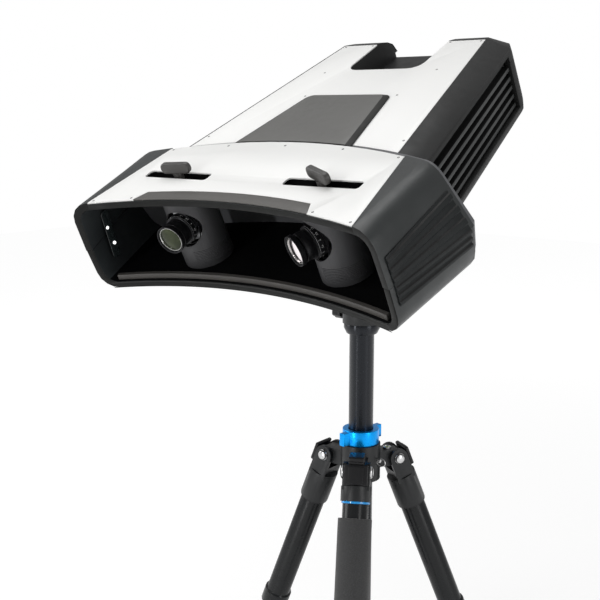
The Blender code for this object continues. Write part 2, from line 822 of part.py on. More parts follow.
def side_louvre():
    """Five long fins on a back plate, along the tapering right side wall."""
    height = LOUVRE_BOTTOM - LOUVRE_TOP

    def path(y):
        face = body_shoulder(y) - BODY_SIDE_WALL - SEAT_GAP

        def point_at(share, level):
            depth = -LOUVRE_PLATE if level is None else LOUVRE_FIN_DEPTH * level
            low = -LOUVRE_TOP - share * height
            return Vector((face + depth, y, low))

        return comb_path(FIN_SPAN_SHARES, LOUVRE_FINS, FIN_FOOT_SHARE, FIN_CREST_SHARE, point_at)

    stations = (LOUVRE_FRONT + LOUVRE_FLANGE, LOUVRE_REAR - LOUVRE_FLANGE)
    fins = shell(*zip(*[path(y) for y in stations]))
    flange = []
    for y, out in (
        (LOUVRE_FRONT - LOUVRE_FLANGE, -LOUVRE_PLATE),
        (LOUVRE_REAR + LOUVRE_FLANGE, -LOUVRE_PLATE),
        (LOUVRE_REAR + LOUVRE_FLANGE, 0),
        (LOUVRE_FRONT - LOUVRE_FLANGE, 0),
    ):
        flange.append((body_shoulder(y) - BODY_SIDE_WALL - SEAT_GAP + out, y))
    plate = prism(flange, -LOUVRE_BOTTOM - LOUVRE_FLANGE, -LOUVRE_TOP + LOUVRE_FLANGE / 2)
    return joined(plate, fins)


def build_body(scanner, paint):
    rear = BODY_STRAIGHT_END + BODY_END_ROUNDING
    body_start = COLLAR_THICKNESS + 2 * ARC_GAP

    outer = loft([upper_ring(y, drop, inset) for y, drop, rise, inset in body_stations()])
    wall = BODY_TOP_WALL
    inner = loft([upper_ring(y, drop, inset, wall) for y, drop, rise, inset in body_stations(wall)])
    tub = prism(notch_outline(NOTCH_WALL, rear - BODY_TOP_WALL), -NOTCH_FLOOR - NOTCH_WALL, -2 * BODY_TOP_DROP)
    under_skin = loft([upper_ring(y, drop, inset, reach=NOTCH_FLOOR) for y, drop, rise, inset in body_stations()])
    tub = worked(tub, [("INTERSECT", under_skin)])
    hollow = prism(notch_outline(0, rear + OVERRUN), -NOTCH_FLOOR, OVERRUN)
    seat = prism(plate_outline(SEAT_GAP), -BODY_TOP_DROP - PLATE_THICKNESS - SEAT_GAP, OVERRUN)
    openings = [louvre_opening(side) for side in (-1, 1)]
    upper = cut(joined(cut(outer, inner), tub), hollow, seat, *openings, visor_space(body_start))
    place("body_upper_shell", upper, paint["charcoal"], scanner)

    outer = loft([lower_ring(y, rise, inset) for y, drop, rise, inset in body_stations()])
    wall = BODY_FLOOR_WALL
    inner = loft([lower_ring(y, rise, inset, wall) for y, drop, rise, inset in body_stations(wall)])
    tub_room = prism(
        notch_outline(NOTCH_WALL + RUNNING_GAP, rear + OVERRUN), -NOTCH_FLOOR - NOTCH_WALL - RUNNING_GAP, OVERRUN
    )
    panel_room = prism_along(
        "Y", rectangle(PANEL_HALF + SEAT_GAP, -PANEL_TOP - PANEL_HEIGHT - SEAT_GAP, SEAT_GAP - PANEL_TOP),
        rear - PANEL_THICKNESS, rear + OVERRUN,
    )
    button_hole = rod(BUTTON_RADIUS + SEAT_GAP, -rear - OVERRUN, 2 * OVERRUN - rear, turn=FORWARD)
    button_hole = moved(button_hole, (BUTTON_OUT, 0, -PANEL_TOP - PANEL_HEIGHT / 2))
    openings = [louvre_opening(side) for side in (-1, 1)]
    lower = cut(cut(outer, inner), tub_room, panel_room, button_hole, *openings, visor_space(body_start))
    place("body_lower_shell", lower, paint["charcoal"], scanner)

    plate = prism(plate_outline(0), -BODY_TOP_DROP - PLATE_THICKNESS, -BODY_TOP_DROP)
    hollow = prism(notch_outline(0, rear + OVERRUN), -NOTCH_FLOOR, OVERRUN)
    place("body_top_plate", cut(plate, hollow, visor_space(body_start)), paint["white"], scanner)
    low = SEAT_GAP - BODY_TOP_DROP
    rings = []
    for flare, height in ((COVER_FLARE, 0), (COVER_FLARE, COVER_EDGE), (0, COVER_THICKNESS)):
        rings.append([Vector((p.x, p.y, low + height)) for p in cover_outline(flare)])
    cover = cut(loft(rings), visor_space(ARC_GAP))
    place("raised_cover", cover, paint["warm_grey"], scanner)

    louvre = side_louvre()
    place("side_louvre_right", louvre, paint["dark_panel"], scanner)
    left = louvre.copy()
    left.transform(Matrix.Scale(-1, 4, (1, 0, 0)))
    left.flip_normals()
    place("side_louvre_left", left, paint["dark_panel"], scanner)

    build_rear_panel(scanner, paint, rear)


def build_rear_panel(scanner, paint, rear):
    middle = -PANEL_TOP - PANEL_HEIGHT / 2
    face = rear - PANEL_THICKNESS + SEAT_GAP
    panel = prism_along("Y", rectangle(PANEL_HALF, -PANEL_TOP - PANEL_HEIGHT, -PANEL_TOP), face, rear)
    sockets = []
    for share in SOCKET_SHARES:
        x = share * PANEL_HALF
        low = (x - SOCKET_WIDTH / 2, face + PANEL_THICKNESS / 2, middle - SOCKET_HEIGHT / 2)
        high = (x + SOCKET_WIDTH / 2, rear + SOCKET_DEPTH, middle + SOCKET_HEIGHT / 2)
        sockets.append(box(low, high))
    place("rear_connector_panel", joined(panel, *sockets), paint["dark_panel"], scanner)

    button = frame("power_button_axis", scanner, (BUTTON_OUT, rear, middle))
    profile = [
        (0, -BUTTON_PROUD),
        (BUTTON_RADIUS - BUTTON_PROUD / 4, -BUTTON_PROUD),
        (BUTTON_RADIUS, -BUTTON_PROUD * 3 / 4),
        (BUTTON_RADIUS, BUTTON_LENGTH - BUTTON_PROUD),
        (0, BUTTON_LENGTH - BUTTON_PROUD),
    ]
    place("power_button", turned(profile, turn=FORWARD), paint["gloss_black"], button)


# Parts inside the rear body


def build_inside(scanner, paint):
    floor = -BODY_BOTTOM + BODY_FLOOR_WALL + SEAT_GAP
    low = (-PROJECTOR_HALF, PROJECTOR_FRONT, floor)
    high = (PROJECTOR_HALF, PROJECTOR_FRONT + PROJECTOR_LENGTH, floor + PROJECTOR_HEIGHT)
    place("projector_housing", box(low, high), paint["aluminium"], scanner)

    reach = PROJECTOR_LENS_REACH
    inner = PROJECTOR_LENS_RADIUS - PROJECTOR_LENS_RIM
    profile = [
        (0, SEAT_GAP),
        (PROJECTOR_LENS_RADIUS, SEAT_GAP),
        (PROJECTOR_LENS_RADIUS, reach),
        (inner, reach),
        (inner - PROJECTOR_LENS_RIM / 2, reach - PROJECTOR_LENS_RECESS),
        (0, reach - PROJECTOR_LENS_RECESS / 2),
    ]
    lens = frame("projector_axis", scanner, (0, PROJECTOR_FRONT, -OPTICS_BELOW))
    place("projector_lens", turned(profile, turn=FORWARD), paint["black"], lens)

    top = floor + BOARD_POST_HEIGHT + BOARD_THICKNESS
    board = box((-BOARD_HALF, BOARD_FRONT, top - BOARD_THICKNESS), (BOARD_HALF, BOARD_FRONT + BOARD_LENGTH, top))
    parts = []
    for x in (BOARD_POST - BOARD_HALF, BOARD_HALF - BOARD_POST):
        for y in (BOARD_FRONT + BOARD_POST, BOARD_FRONT + BOARD_LENGTH - BOARD_POST):
            half = BOARD_POST / 2
            parts.append(box((x - half, y - half, floor), (x + half, y + half, top - BOARD_THICKNESS / 2)))
    for across, along in CHIP_SHARES:
        x, y = across * BOARD_HALF, BOARD_FRONT + along * BOARD_LENGTH
        half = CHIP_SIZE / 2
        parts.append(box((x - half, y - half, top - BOARD_THICKNESS / 2), (x + half, y + half, top + CHIP_HEIGHT)))
    place("control_board", joined(board, *parts), paint["board"], scanner)
    build_fan(scanner, paint, floor)


def build_fan(scanner, paint, floor):
    """A cooling fan that stands on the floor and blows out through the left louvres."""
    half = FAN_SIZE / 2
    out = body_shoulder(FAN_FRONT + FAN_SIZE) - FAN_SIDE_CLEARANCE
    centre = (-out, FAN_FRONT + half, floor + half)
    axis = frame("fan_axis", scanner, centre, (0, radians(90), 0))
    square = rectangle(half, -half, half, FAN_WALL)
    duct = rod(half - FAN_WALL, -OVERRUN, FAN_DEPTH + OVERRUN)
    body = cut(prism(square, 0, FAN_DEPTH), duct)
    spoke_top = FAN_SPOKE
    spokes = [
        box((-half + FAN_WALL / 2, -FAN_SPOKE / 2, 0), (half - FAN_WALL / 2, FAN_SPOKE / 2, spoke_top)),
        box((-FAN_SPOKE / 2, -half + FAN_WALL / 2, 0), (FAN_SPOKE / 2, half - FAN_WALL / 2, spoke_top)),
        rod(FAN_HUB_RADIUS, 0, spoke_top),
        rod(FAN_PIN_RADIUS, 0, FAN_DEPTH - FAN_SPOKE),
    ]
    place("fan_frame", joined(body, *spokes), paint["black"], axis)

    low = spoke_top + RUNNING_GAP
    high = low + FAN_BLADE_DEPTH
    hub = rod(FAN_HUB_RADIUS, low, high)
    blades = []
    for i in range(FAN_BLADES):
        blade = box((FAN_HUB_RADIUS - FAN_WALL, -FAN_BLADE_THICKNESS / 2, -FAN_BLADE_DEPTH / 2),
                    (half - 2 * FAN_WALL, FAN_BLADE_THICKNESS / 2, FAN_BLADE_DEPTH / 2))
        blade = moved(blade, (0, 0, 0), Matrix.Rotation(FAN_BLADE_PITCH, 4, "X"))
        blade = moved(blade, (0, 0, (low + high) / 2))
        blades.append(moved(blade, (0, 0, 0), Matrix.Rotation(2 * pi * i / FAN_BLADES, 4, "Z")))
    rotor = joined(hub, *blades)
    bore = rod(FAN_PIN_RADIUS + SEAT_GAP, low - OVERRUN, high + OVERRUN)
    place("fan_rotor", cut(rotor, bore), paint["black"], axis)


# Camera units


def build_rail(scanner, paint):
    top = -VISOR_CEILING_WALL - SEAT_GAP
    low, high = SPINDLE_BACK - RAIL_WIDTH / 2, SPINDLE_BACK + RAIL_WIDTH / 2
    rail = box((-RAIL_HALF, low, top - RAIL_THICKNESS), (RAIL_HALF, high, top))
    windows = []
    for side in (-1, 1):
        ends = sorted((side * RAIL_WINDOW_START, side * RAIL_WINDOW_END))
        half = RAIL_WINDOW_WIDTH / 2
        windows.append(
            box((ends[0], SPINDLE_BACK - half, top - OVERRUN), (ends[1], SPINDLE_BACK + half, top + OVERRUN))
        )
    place("slide_rail", cut(rail, *windows), paint["steel"], scanner)
    return top


def build_camera(scanner, paint, side, name, turn, rail_top):
    slide = frame("camera_slide_" + name, scanner, (side * SPINDLE_OUT, SPINDLE_BACK, 0))
    swivel = frame("camera_swivel_" + name, slide, (0, 0, 0), (0, 0, turn))

    rail_low = rail_top - RAIL_THICKNESS
    top = rail_low - SEAT_GAP
    low = top - CARRIAGE_THICKNESS
    half, boss_half = CARRIAGE_LENGTH / 2, CARRIAGE_BOSS_LENGTH / 2
    width, boss_width = CARRIAGE_WIDTH / 2, RAIL_WINDOW_WIDTH / 2 - SEAT_GAP
    plate = box((-half, -width, low), (half, width, top))
    boss = box((-boss_half, -boss_width, low + CARRIAGE_THICKNESS / 2), (boss_half, boss_width, rail_top - SEAT_GAP))
    bore = rod(SPINDLE_RADIUS + SEAT_GAP, low - OVERRUN, OVERRUN)
    place("camera_carriage_" + name, cut(joined(plate, boss), bore), paint["steel"], slide)

    cowl_top = low - RUNNING_GAP
    spindle = rod(SPINDLE_RADIUS, cowl_top + SEAT_GAP, LEVER_LIFT + LEVER_HEIGHT / 2)
    neck = box((-LEVER_NECK / 2, -LEVER_THICKNESS / 2, -PLATE_THICKNESS), (LEVER_NECK / 2, LEVER_THICKNESS / 2,
               LEVER_LIFT + LEVER_HEIGHT / 2))
    blade_outline = rounded(
        [Vector(c) for c in (
            (-LEVER_LENGTH / 2, LEVER_LIFT),
            (LEVER_LENGTH / 2, LEVER_LIFT),
            (LEVER_LENGTH / 2, LEVER_LIFT + LEVER_HEIGHT),
            (-LEVER_LENGTH / 2, LEVER_LIFT + LEVER_HEIGHT),
        )],
        [LEVER_LOW_FILLET, LEVER_LOW_FILLET, LEVER_TOP_FILLET, LEVER_TOP_FILLET],
    )
    blade = prism_along("Y", blade_outline, -LEVER_THICKNESS / 2, LEVER_THICKNESS / 2)
    place("camera_lever_" + name, joined(blade, neck, spindle), paint["black"], swivel)

    build_cowl(swivel, paint, name, cowl_top)
    build_optics(swivel, paint, name, cowl_top)


def cowl_outline(radius, back):
    """A round outline with a flat back, at (x, y)."""
    start = acos(-back / radius)
    count = ROUND_SIDES
    angles = [-start + 2 * start * i / count for i in range(count + 1)]
    return [Vector((radius * sin(a), -radius * cos(a))) for a in angles]


def build_cowl(swivel, paint, name, cowl_top):
    low = -VISOR_HEIGHT + VISOR_WALL + SWING_GAP
    solid = prism(cowl_outline(COWL_RADIUS, COWL_BACK), low, cowl_top)
    room = prism(
        cowl_outline(COWL_RADIUS - COWL_WALL, COWL_BACK - COWL_WALL), low - OVERRUN, cowl_top - COWL_WALL
    )
    window = rod(COWL_WINDOW_RADIUS, CAMERA_HALF, COWL_RADIUS + OVERRUN, turn=FORWARD)
    window = moved(window, (0, 0, -OPTICS_BELOW))
    place("camera_cowl_" + name, cut(solid, room, window), paint["matte_black"], swivel)


def build_optics(swivel, paint, name, cowl_top):
    room_top = cowl_top - COWL_WALL - SEAT_GAP
    half = CAMERA_HALF
    middle = -OPTICS_BELOW
    body = box((-half, -half, middle - CAMERA_HEIGHT / 2), (half, half, middle + CAMERA_HEIGHT / 2))
    bracket = CAMERA_BRACKET / 2
    stem = box((-bracket, -bracket, middle), (bracket, bracket, room_top))
    place("camera_body_" + name, joined(body, stem), paint["aluminium"], swivel)

    lens = frame("lens_axis_" + name, swivel, (0, 0, middle))
    start = half + SEAT_GAP
    profile = [
        (0, start),
        (BARREL_RADIUS, start),
        (BARREL_RADIUS, LENS_REACH - BARREL_RIM_DEPTH),
        (BARREL_RIM_RADIUS, LENS_REACH - BARREL_RIM_DEPTH),
        (BARREL_RIM_RADIUS, LENS_REACH),
        (BARREL_RECESS_RADIUS, LENS_REACH),
        (BARREL_RECESS_RADIUS, LENS_REACH - BARREL_RECESS_DEPTH),
        (0, LENS_REACH - BARREL_RECESS_DEPTH),
    ]
    place("lens_barrel_" + name, turned(profile, turn=FORWARD), paint["black"], lens)
    bore = BARREL_RADIUS + SEAT_GAP
    start = APERTURE_RING_START
    ring = tube(APERTURE_RING_RADIUS, bore, start, start + APERTURE_RING_LENGTH, turn=FORWARD)
    place("aperture_ring_" + name, ring, paint["black"], lens)
    start += APERTURE_RING_LENGTH + RUNNING_GAP
    ring = tube(FOCUS_RING_RADIUS, bore, start, start + FOCUS_RING_LENGTH, turn=FORWARD)
    place("focus_ring_" + name, ring, paint["black"], lens)
    start = LENS_REACH - BARREL_RECESS_DEPTH + SEAT_GAP
    glass = rod(BARREL_RECESS_RADIUS - SEAT_GAP, start, start + GLASS_THICKNESS, turn=FORWARD)
    place("front_lens_" + name, glass, paint["glass"], lens)


# Tripod head


def knob(radius, length, stem_radius, stem_start, lobes=6):
    """A lobed hand knob on a stem that starts at stem_start and runs to the knob at zero, along +Z."""
    wave = [radius * (1 - KNOB_LOBE_SHARE / 2 * (1 - cos(2 * pi * i / 4))) for i in range(4)]
    steps = lobes * 4
    outline = []
    for i in range(steps):
        angle = 2 * pi * i / steps
        outline.append(Vector((wave[i % 4] * cos(angle), wave[i % 4] * sin(angle))))
    grip = prism(outline, 0, length)
    return joined(grip, rod(stem_radius, stem_start, length / 2))


def build_platform(scanner, paint):
    """What carries the scanner: its mounting plate, and the head's platform with the tilting lug."""
    top = -BODY_BOTTOM - SEAT_GAP
    low = top - MOUNT_PLATE_THICKNESS
    half = MOUNT_PLATE_LENGTH / 2
    outline = rectangle(MOUNT_PLATE_HALF, TILT_AXIS_BACK - half, TILT_AXIS_BACK + half, MOUNT_PLATE_THICKNESS)
    place("mounting_plate", prism(outline, low, top), paint["steel"], scanner)

    axis = frame("tilt_platform_axis", scanner, (0, TILT_AXIS_BACK, -BODY_BOTTOM - TILT_AXIS_BELOW_BODY))
    above = TILT_AXIS_BELOW_BODY - SEAT_GAP - MOUNT_PLATE_THICKNESS - SEAT_GAP
    half = PLATFORM_LENGTH / 2
    table = prism(rectangle(PLATFORM_HALF, -half, half, PLATFORM_THICKNESS), above - PLATFORM_THICKNESS, above)
    lug = prism_along("X", lug_outline(LUG_RADIUS, above - PLATFORM_THICKNESS / 2), -LUG_HALF, LUG_HALF)
    bore = rod(AXLE_RADIUS + SEAT_GAP, -LUG_HALF - OVERRUN, LUG_HALF + OVERRUN, turn=ALONG_X)
    place("tilt_platform", cut(joined(table, lug), bore), paint["painted_black"], axis)


def build_head(head, paint):
    """The head turns on the column. Its frame lies on the tilt axis, above the column's middle."""
    inner = LUG_HALF + SEAT_GAP
    outer = inner + CHEEK_THICKNESS
    bottom = -HEAD_HEIGHT
    base_top = bottom + HEAD_BASE_HEIGHT
    profile = [
        (0, bottom),
        (HEAD_BASE_RADIUS, bottom),
        (HEAD_BASE_RADIUS, base_top - KNOB_CHAMFER),
        (HEAD_BASE_RADIUS - KNOB_CHAMFER, base_top),
        (0, base_top),
    ]
    outline = [Vector((p.x, -p.y)) for p in lug_outline(CHEEK_RADIUS, KNOB_CHAMFER - base_top)]
    block = prism_along("X", outline, -outer, outer)
    slot_low = -LUG_RADIUS - 2 * RUNNING_GAP
    slot = box((-inner, -CHEEK_RADIUS - OVERRUN, slot_low), (inner, CHEEK_RADIUS + OVERRUN, CHEEK_RADIUS + OVERRUN))
    bore = rod(AXLE_RADIUS + SEAT_GAP, -outer - OVERRUN, outer + OVERRUN, turn=ALONG_X)
    place("tripod_head", cut(joined(turned(profile), block), slot, bore), paint["painted_black"], head)

    tilt_knob = knob(TILT_KNOB_RADIUS, TILT_KNOB_LENGTH, AXLE_RADIUS, -2 * outer - SEAT_GAP)
    tilt_knob = moved(tilt_knob, (0, 0, outer + SEAT_GAP))
    place("tilt_lock_knob", moved(tilt_knob, (0, 0, 0), ALONG_X), paint["black"], head)

    pan = frame("pan_knob_axis", head, (-HEAD_BASE_RADIUS - KNOB_STEM_LENGTH, 0, bottom + PAN_KNOB_LIFT))
    pan_knob = knob(PAN_KNOB_RADIUS, PAN_KNOB_LENGTH, KNOB_STEM_RADIUS, SEAT_GAP - KNOB_STEM_LENGTH)
    pan_knob.transform(Matrix.Rotation(radians(-90), 4, "Y"))
    place("pan_lock_knob", pan_knob, paint["black"], pan)


# Column, hub and legs


def build_column(column, paint):
    """The column's frame is at the top face of its disc."""
    profile = [
        (0, 0),
        (DISC_RADIUS, 0),
        (DISC_RADIUS, DISC_ROUNDING - DISC_HEIGHT),
        (COLUMN_RADIUS + (DISC_RADIUS - COLUMN_RADIUS) / 2, -DISC_HEIGHT),
        (COLUMN_RADIUS, -DISC_HEIGHT),
        (COLUMN_RADIUS, -DISC_HEIGHT - COLUMN_LENGTH),
        (0, -DISC_HEIGHT - COLUMN_LENGTH),
    ]
    place("column_tube", turned(profile), paint["gloss_black"], column)


def build_hub(stand, paint):
    """The hub's frame is on the column's axis at the hub's top face."""
    bore = COLUMN_RADIUS + SEAT_GAP
    wings = []
    low = (COLUMN_COLLAR_HEIGHT - WING_HEIGHT) / 2
    for side in (-1, 1):
        ends = sorted((side * (COLUMN_COLLAR_RADIUS - OVERRUN / 3), side * WING_REACH))
        wings.append(box((ends[0], -WING_WIDTH / 2, low), (ends[1], WING_WIDTH / 2, low + WING_HEIGHT)))
    collar = tube(COLUMN_COLLAR_RADIUS, bore, 0, COLUMN_COLLAR_HEIGHT)
    axis = frame("column_collar_axis", stand, (0, 0, SEAT_GAP), (0, 0, COLLAR_TURN))
    place("column_collar", joined(collar, *wings), paint["blue"], axis)

    hub = rod(HUB_RADIUS, -HUB_HEIGHT, 0)
    arms, bores = [], [rod(bore, -HUB_HEIGHT - OVERRUN, OVERRUN)]
    for i in range(LEG_COUNT):
        turn = Matrix.Rotation(FRONT_LEG_AZIMUTH + 2 * pi * i / LEG_COUNT, 4, "Z")
        outline = lug_outline(HUB_ARM_RADIUS, HINGE_RADIUS - (HUB_RADIUS + bore) / 2)
        arm = prism_along("X", [Vector((p.y, p.x)) for p in outline], -HUB_ARM_HALF, HUB_ARM_HALF)
        arm = moved(arm, (0, -HINGE_RADIUS, -HINGE_DROP))
        hole = rod(BOLT_RADIUS + SEAT_GAP, -HUB_ARM_HALF - OVERRUN, HUB_ARM_HALF + OVERRUN, turn=ALONG_X)
        hole = moved(hole, (0, -HINGE_RADIUS, -HINGE_DROP))
        arms.append(moved(arm, (0, 0, 0), turn))
        bores.append(moved(hole, (0, 0, 0), turn))
    place("tripod_hub", cut(joined(hub, *arms), *bores), paint["painted_black"], stand)


def yoke_mesh(block_length, socket_end):
    """The fork, bolt and tube socket at the top of a leg, about the hinge, with the leg along -Z."""
    outline = [Vector((p.x, -p.y)) for p in lug_outline(YOKE_DEPTH, block_length)]
    block = prism_along("X", outline, -YOKE_HALF, YOKE_HALF)
    slot_half = HUB_ARM_HALF + SEAT_GAP
    room = YOKE_DEPTH + OVERRUN
    slot = box((-slot_half, -room, -YOKE_SLOT_DEPTH), (slot_half, room, room))
    fork = cut(block, slot)
    bolt = rod(BOLT_RADIUS, -YOKE_HALF, YOKE_HALF, turn=ALONG_X)
    heads = []
    for side in (-1, 1):
        ends = sorted((side * (YOKE_HALF - BOLT_HEAD_LENGTH / 2), side * (YOKE_HALF + BOLT_HEAD_LENGTH)))
        heads.append(rod(BOLT_HEAD_RADIUS, *ends, turn=ALONG_X))
    socket = rod(SOCKET_RADIUS, -socket_end, SOCKET_LAP - block_length)
    bore = rod(UPPER_TUBE_RADIUS + SEAT_GAP, -socket_end - OVERRUN, -block_length)
    return cut(joined(fork, bolt, *heads, socket), bore)


def upper_tube_mesh(block_length):
    start = -block_length - SEAT_GAP
    bore = LOWER_TUBE_RADIUS + SEAT_GAP
    lock = LEG_LOCK_LENGTH - UPPER_TUBE_END
    profile = [
        (UPPER_TUBE_RADIUS, start),
        (UPPER_TUBE_RADIUS, lock),
        (LEG_LOCK_RADIUS, lock - KNOB_CHAMFER),
        (LEG_LOCK_RADIUS, KNOB_CHAMFER - UPPER_TUBE_END),
        (LEG_LOCK_RADIUS - KNOB_CHAMFER, -UPPER_TUBE_END),
        (bore, -UPPER_TUBE_END),
        (bore, start),
    ]
    return turned(profile, TUBE_SIDES)


def lower_tube_mesh():
    foot_top = FOOT_LENGTH - LEG_LENGTH
    profile = [
        (0, -LOWER_TUBE_START),
        (LOWER_TUBE_RADIUS, -LOWER_TUBE_START),
        (LOWER_TUBE_RADIUS, foot_top),
        (FOOT_RADIUS, foot_top),
        (FOOT_RADIUS, FOOT_RADIUS - LEG_LENGTH),
    ]
    for i in range(1, FILLET_PIECES):
        angle = i / FILLET_PIECES * pi / 2
        profile.append((FOOT_RADIUS * cos(angle), FOOT_RADIUS * (1 - sin(angle)) - LEG_LENGTH))
    leg = turned(profile + [(0, -LEG_LENGTH)], TUBE_SIDES)
    floor = box((-FOOT_LENGTH, -FOOT_LENGTH, -FOOT_LENGTH), (FOOT_LENGTH, FOOT_LENGTH, 0))
    floor = moved(floor, (0, 0, FOOT_FLAT - FOOT_RADIUS))
    upright = Matrix.Rotation(LEG_SPLAY, 4, "X")
    return cut(leg, moved(moved(floor, (0, 0, 0), upright), (0, 0, FOOT_RADIUS - LEG_LENGTH)))


def build_legs(stand, paint):
    lower = lower_tube_mesh()
    low = (-LATCH_HALF, -YOKE_DEPTH - SEAT_GAP - LATCH_THICKNESS, -LATCH_START - LATCH_LENGTH)
    high = (LATCH_HALF, -YOKE_DEPTH - SEAT_GAP, -LATCH_START)
    latch = box(low, high)
    for i, name in enumerate(("front", "right", "left")):
        azimuth = FRONT_LEG_AZIMUTH + 2 * pi * i / LEG_COUNT
        hinge = (HINGE_RADIUS * sin(azimuth), -HINGE_RADIUS * cos(azimuth), -HINGE_DROP)
        leg = frame("leg_hinge_" + name, stand, hinge, (-LEG_SPLAY, 0, azimuth))
        block_length = YOKE_BLOCK_LENGTH if i else FRONT_BLOCK_LENGTH
        yoke = yoke_mesh(block_length, SOCKET_END if i else FRONT_SOCKET_END)
        place("leg_yoke_" + name, yoke, paint["painted_black"], leg)
        place("leg_upper_tube_" + name, upper_tube_mesh(block_length), paint["gloss_black"], leg)
        section = frame("leg_section_" + name, leg)
        place("leg_lower_tube_" + name, lower, paint["gloss_black"], section)
        catch = frame("leg_latch_axis_" + name, leg)
        place("angle_latch_" + name, latch, paint["black"], catch)
        if i == 0:
            foam = tube(FOAM_RADIUS, UPPER_TUBE_RADIUS + SEAT_GAP, -FOAM_START - FOAM_LENGTH, -FOAM_START)
            place("foam_grip", foam, paint["foam"], leg)


# The whole object


def paints():
    return {
        "white": material("satin white sheet", (0.86, 0.86, 0.84), 0.35),
        "charcoal": material("charcoal shell", (0.045, 0.047, 0.048), 0.5),
        "brown_grey": material("brown grey trim", (0.11, 0.105, 0.10), 0.45),
        "warm_grey": material("warm grey cover", (0.15, 0.148, 0.14), 0.45),
        "light_grey": material("light grey collar", (0.55, 0.56, 0.57), 0.4),
        "rubber": material("grip rubber", (0.035, 0.037, 0.038), 0.7),
        "dark_panel": material("dark panel", (0.03, 0.032, 0.033), 0.5),
        "matte_black": material("matte black cowl", (0.02, 0.02, 0.021), 0.6),
        "black": material("black plastic", (0.022, 0.022, 0.024), 0.45),
        "gloss_black": material("gloss black", (0.012, 0.013, 0.015), 0.15),
        "painted_black": material("painted casting", (0.025, 0.027, 0.03), 0.4, 0.3),
        "aluminium": material("aluminium", (0.6, 0.6, 0.6), 0.35, 1.0),
        "steel": material("bright steel", (0.5, 0.5, 0.5), 0.3, 1.0),
        "board": material("circuit board", (0.02, 0.12, 0.05), 0.5),
        "glass": material("coated glass", (0.06, 0.09, 0.08), 0.05),
        "blue": material("blue anodised", (0.0, 0.16, 0.75), 0.3, 0.6),
        "foam": material("foam", (0.04, 0.04, 0.04), 0.9),
    }


def settle(base):
    """Moves the base so that the origin is at the bottom centre of the bounding box."""
    bpy.context.view_layer.update()
    graph = bpy.context.evaluated_depsgraph_get()
    points = []
    for piece in bpy.context.scene.objects:
        if piece.type == "MESH":
            seen = piece.evaluated_get(graph)
            points += [seen.matrix_world @ vert.co for vert in seen.data.vertices]
    low = Vector([min(p[i] for p in points) for i in range(3)])
    high = Vector([max(p[i] for p in points) for i in range(3)])
    base.location -= Vector(((low.x + high.x) / 2, (low.y + high.y) / 2, low.z))


def main():
    for old in list(bpy.data.objects):
        bpy.data.objects.remove(old, do_unlink=True)
    paint = paints()

    stand = frame("stand", None)
    build_hub(stand, paint)
    build_legs(stand, paint)
    disc_top = COLUMN_COLLAR_HEIGHT + COLUMN_SHOWN + DISC_HEIGHT
    column = frame("column", stand, (0, 0, disc_top))
    build_column(column, paint)
    head = frame("head", column, (0, 0, HEAD_HEIGHT + SEAT_GAP))
    build_head(head, paint)

    tilt = frame("tilt", head, (0, 0, 0), (PITCH, 0, 0))
    below = BODY_BOTTOM + TILT_AXIS_BELOW_BODY
    scanner = frame("scanner", tilt, (0, -TILT_AXIS_BACK, below))
    build_platform(scanner, paint)
    build_visor(scanner, paint)
    build_body(scanner, paint)
    build_inside(scanner, paint)
    rail_top = build_rail(scanner, paint)
    build_camera(scanner, paint, -1, "left", LEFT_CAMERA_TURN, rail_top)
    build_camera(scanner, paint, 1, "right", RIGHT_CAMERA_TURN, rail_top)
    settle(stand)


main()
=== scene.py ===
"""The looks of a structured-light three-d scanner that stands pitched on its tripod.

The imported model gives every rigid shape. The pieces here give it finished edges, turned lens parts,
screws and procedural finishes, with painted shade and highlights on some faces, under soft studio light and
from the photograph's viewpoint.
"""

import json
from math import atan2, cos, pi, radians, sin

import bpy
from mathutils import Matrix, Vector

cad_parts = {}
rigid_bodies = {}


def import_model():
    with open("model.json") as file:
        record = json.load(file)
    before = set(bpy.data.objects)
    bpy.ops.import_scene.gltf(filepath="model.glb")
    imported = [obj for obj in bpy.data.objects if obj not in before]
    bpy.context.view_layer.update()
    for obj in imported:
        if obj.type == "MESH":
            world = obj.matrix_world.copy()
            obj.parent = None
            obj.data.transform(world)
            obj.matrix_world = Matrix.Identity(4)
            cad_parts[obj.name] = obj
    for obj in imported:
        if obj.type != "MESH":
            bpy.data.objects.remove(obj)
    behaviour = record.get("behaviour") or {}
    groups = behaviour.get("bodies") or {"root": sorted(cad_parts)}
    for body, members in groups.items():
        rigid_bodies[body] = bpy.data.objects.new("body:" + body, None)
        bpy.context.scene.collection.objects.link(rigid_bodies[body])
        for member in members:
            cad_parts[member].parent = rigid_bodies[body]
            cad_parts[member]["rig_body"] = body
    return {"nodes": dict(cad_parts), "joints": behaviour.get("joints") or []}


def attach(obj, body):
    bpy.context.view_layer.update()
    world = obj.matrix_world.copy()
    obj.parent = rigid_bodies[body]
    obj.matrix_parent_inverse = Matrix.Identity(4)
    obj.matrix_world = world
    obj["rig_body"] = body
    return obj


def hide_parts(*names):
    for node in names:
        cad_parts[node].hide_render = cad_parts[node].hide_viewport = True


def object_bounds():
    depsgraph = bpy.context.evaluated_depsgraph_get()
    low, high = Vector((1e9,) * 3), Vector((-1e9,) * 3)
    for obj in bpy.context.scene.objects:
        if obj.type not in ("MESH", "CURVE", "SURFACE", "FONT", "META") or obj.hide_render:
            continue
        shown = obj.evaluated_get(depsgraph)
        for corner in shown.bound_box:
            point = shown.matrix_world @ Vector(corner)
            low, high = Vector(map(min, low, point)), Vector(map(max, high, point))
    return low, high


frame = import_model()
cad_low, cad_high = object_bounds()
for node in frame["nodes"].values():
    node.select_set(False)


def moved(x, y, z):
    return Matrix.Translation((x, y, z))


def turned(angle, axis):
    return Matrix.Rotation(angle, 4, axis)


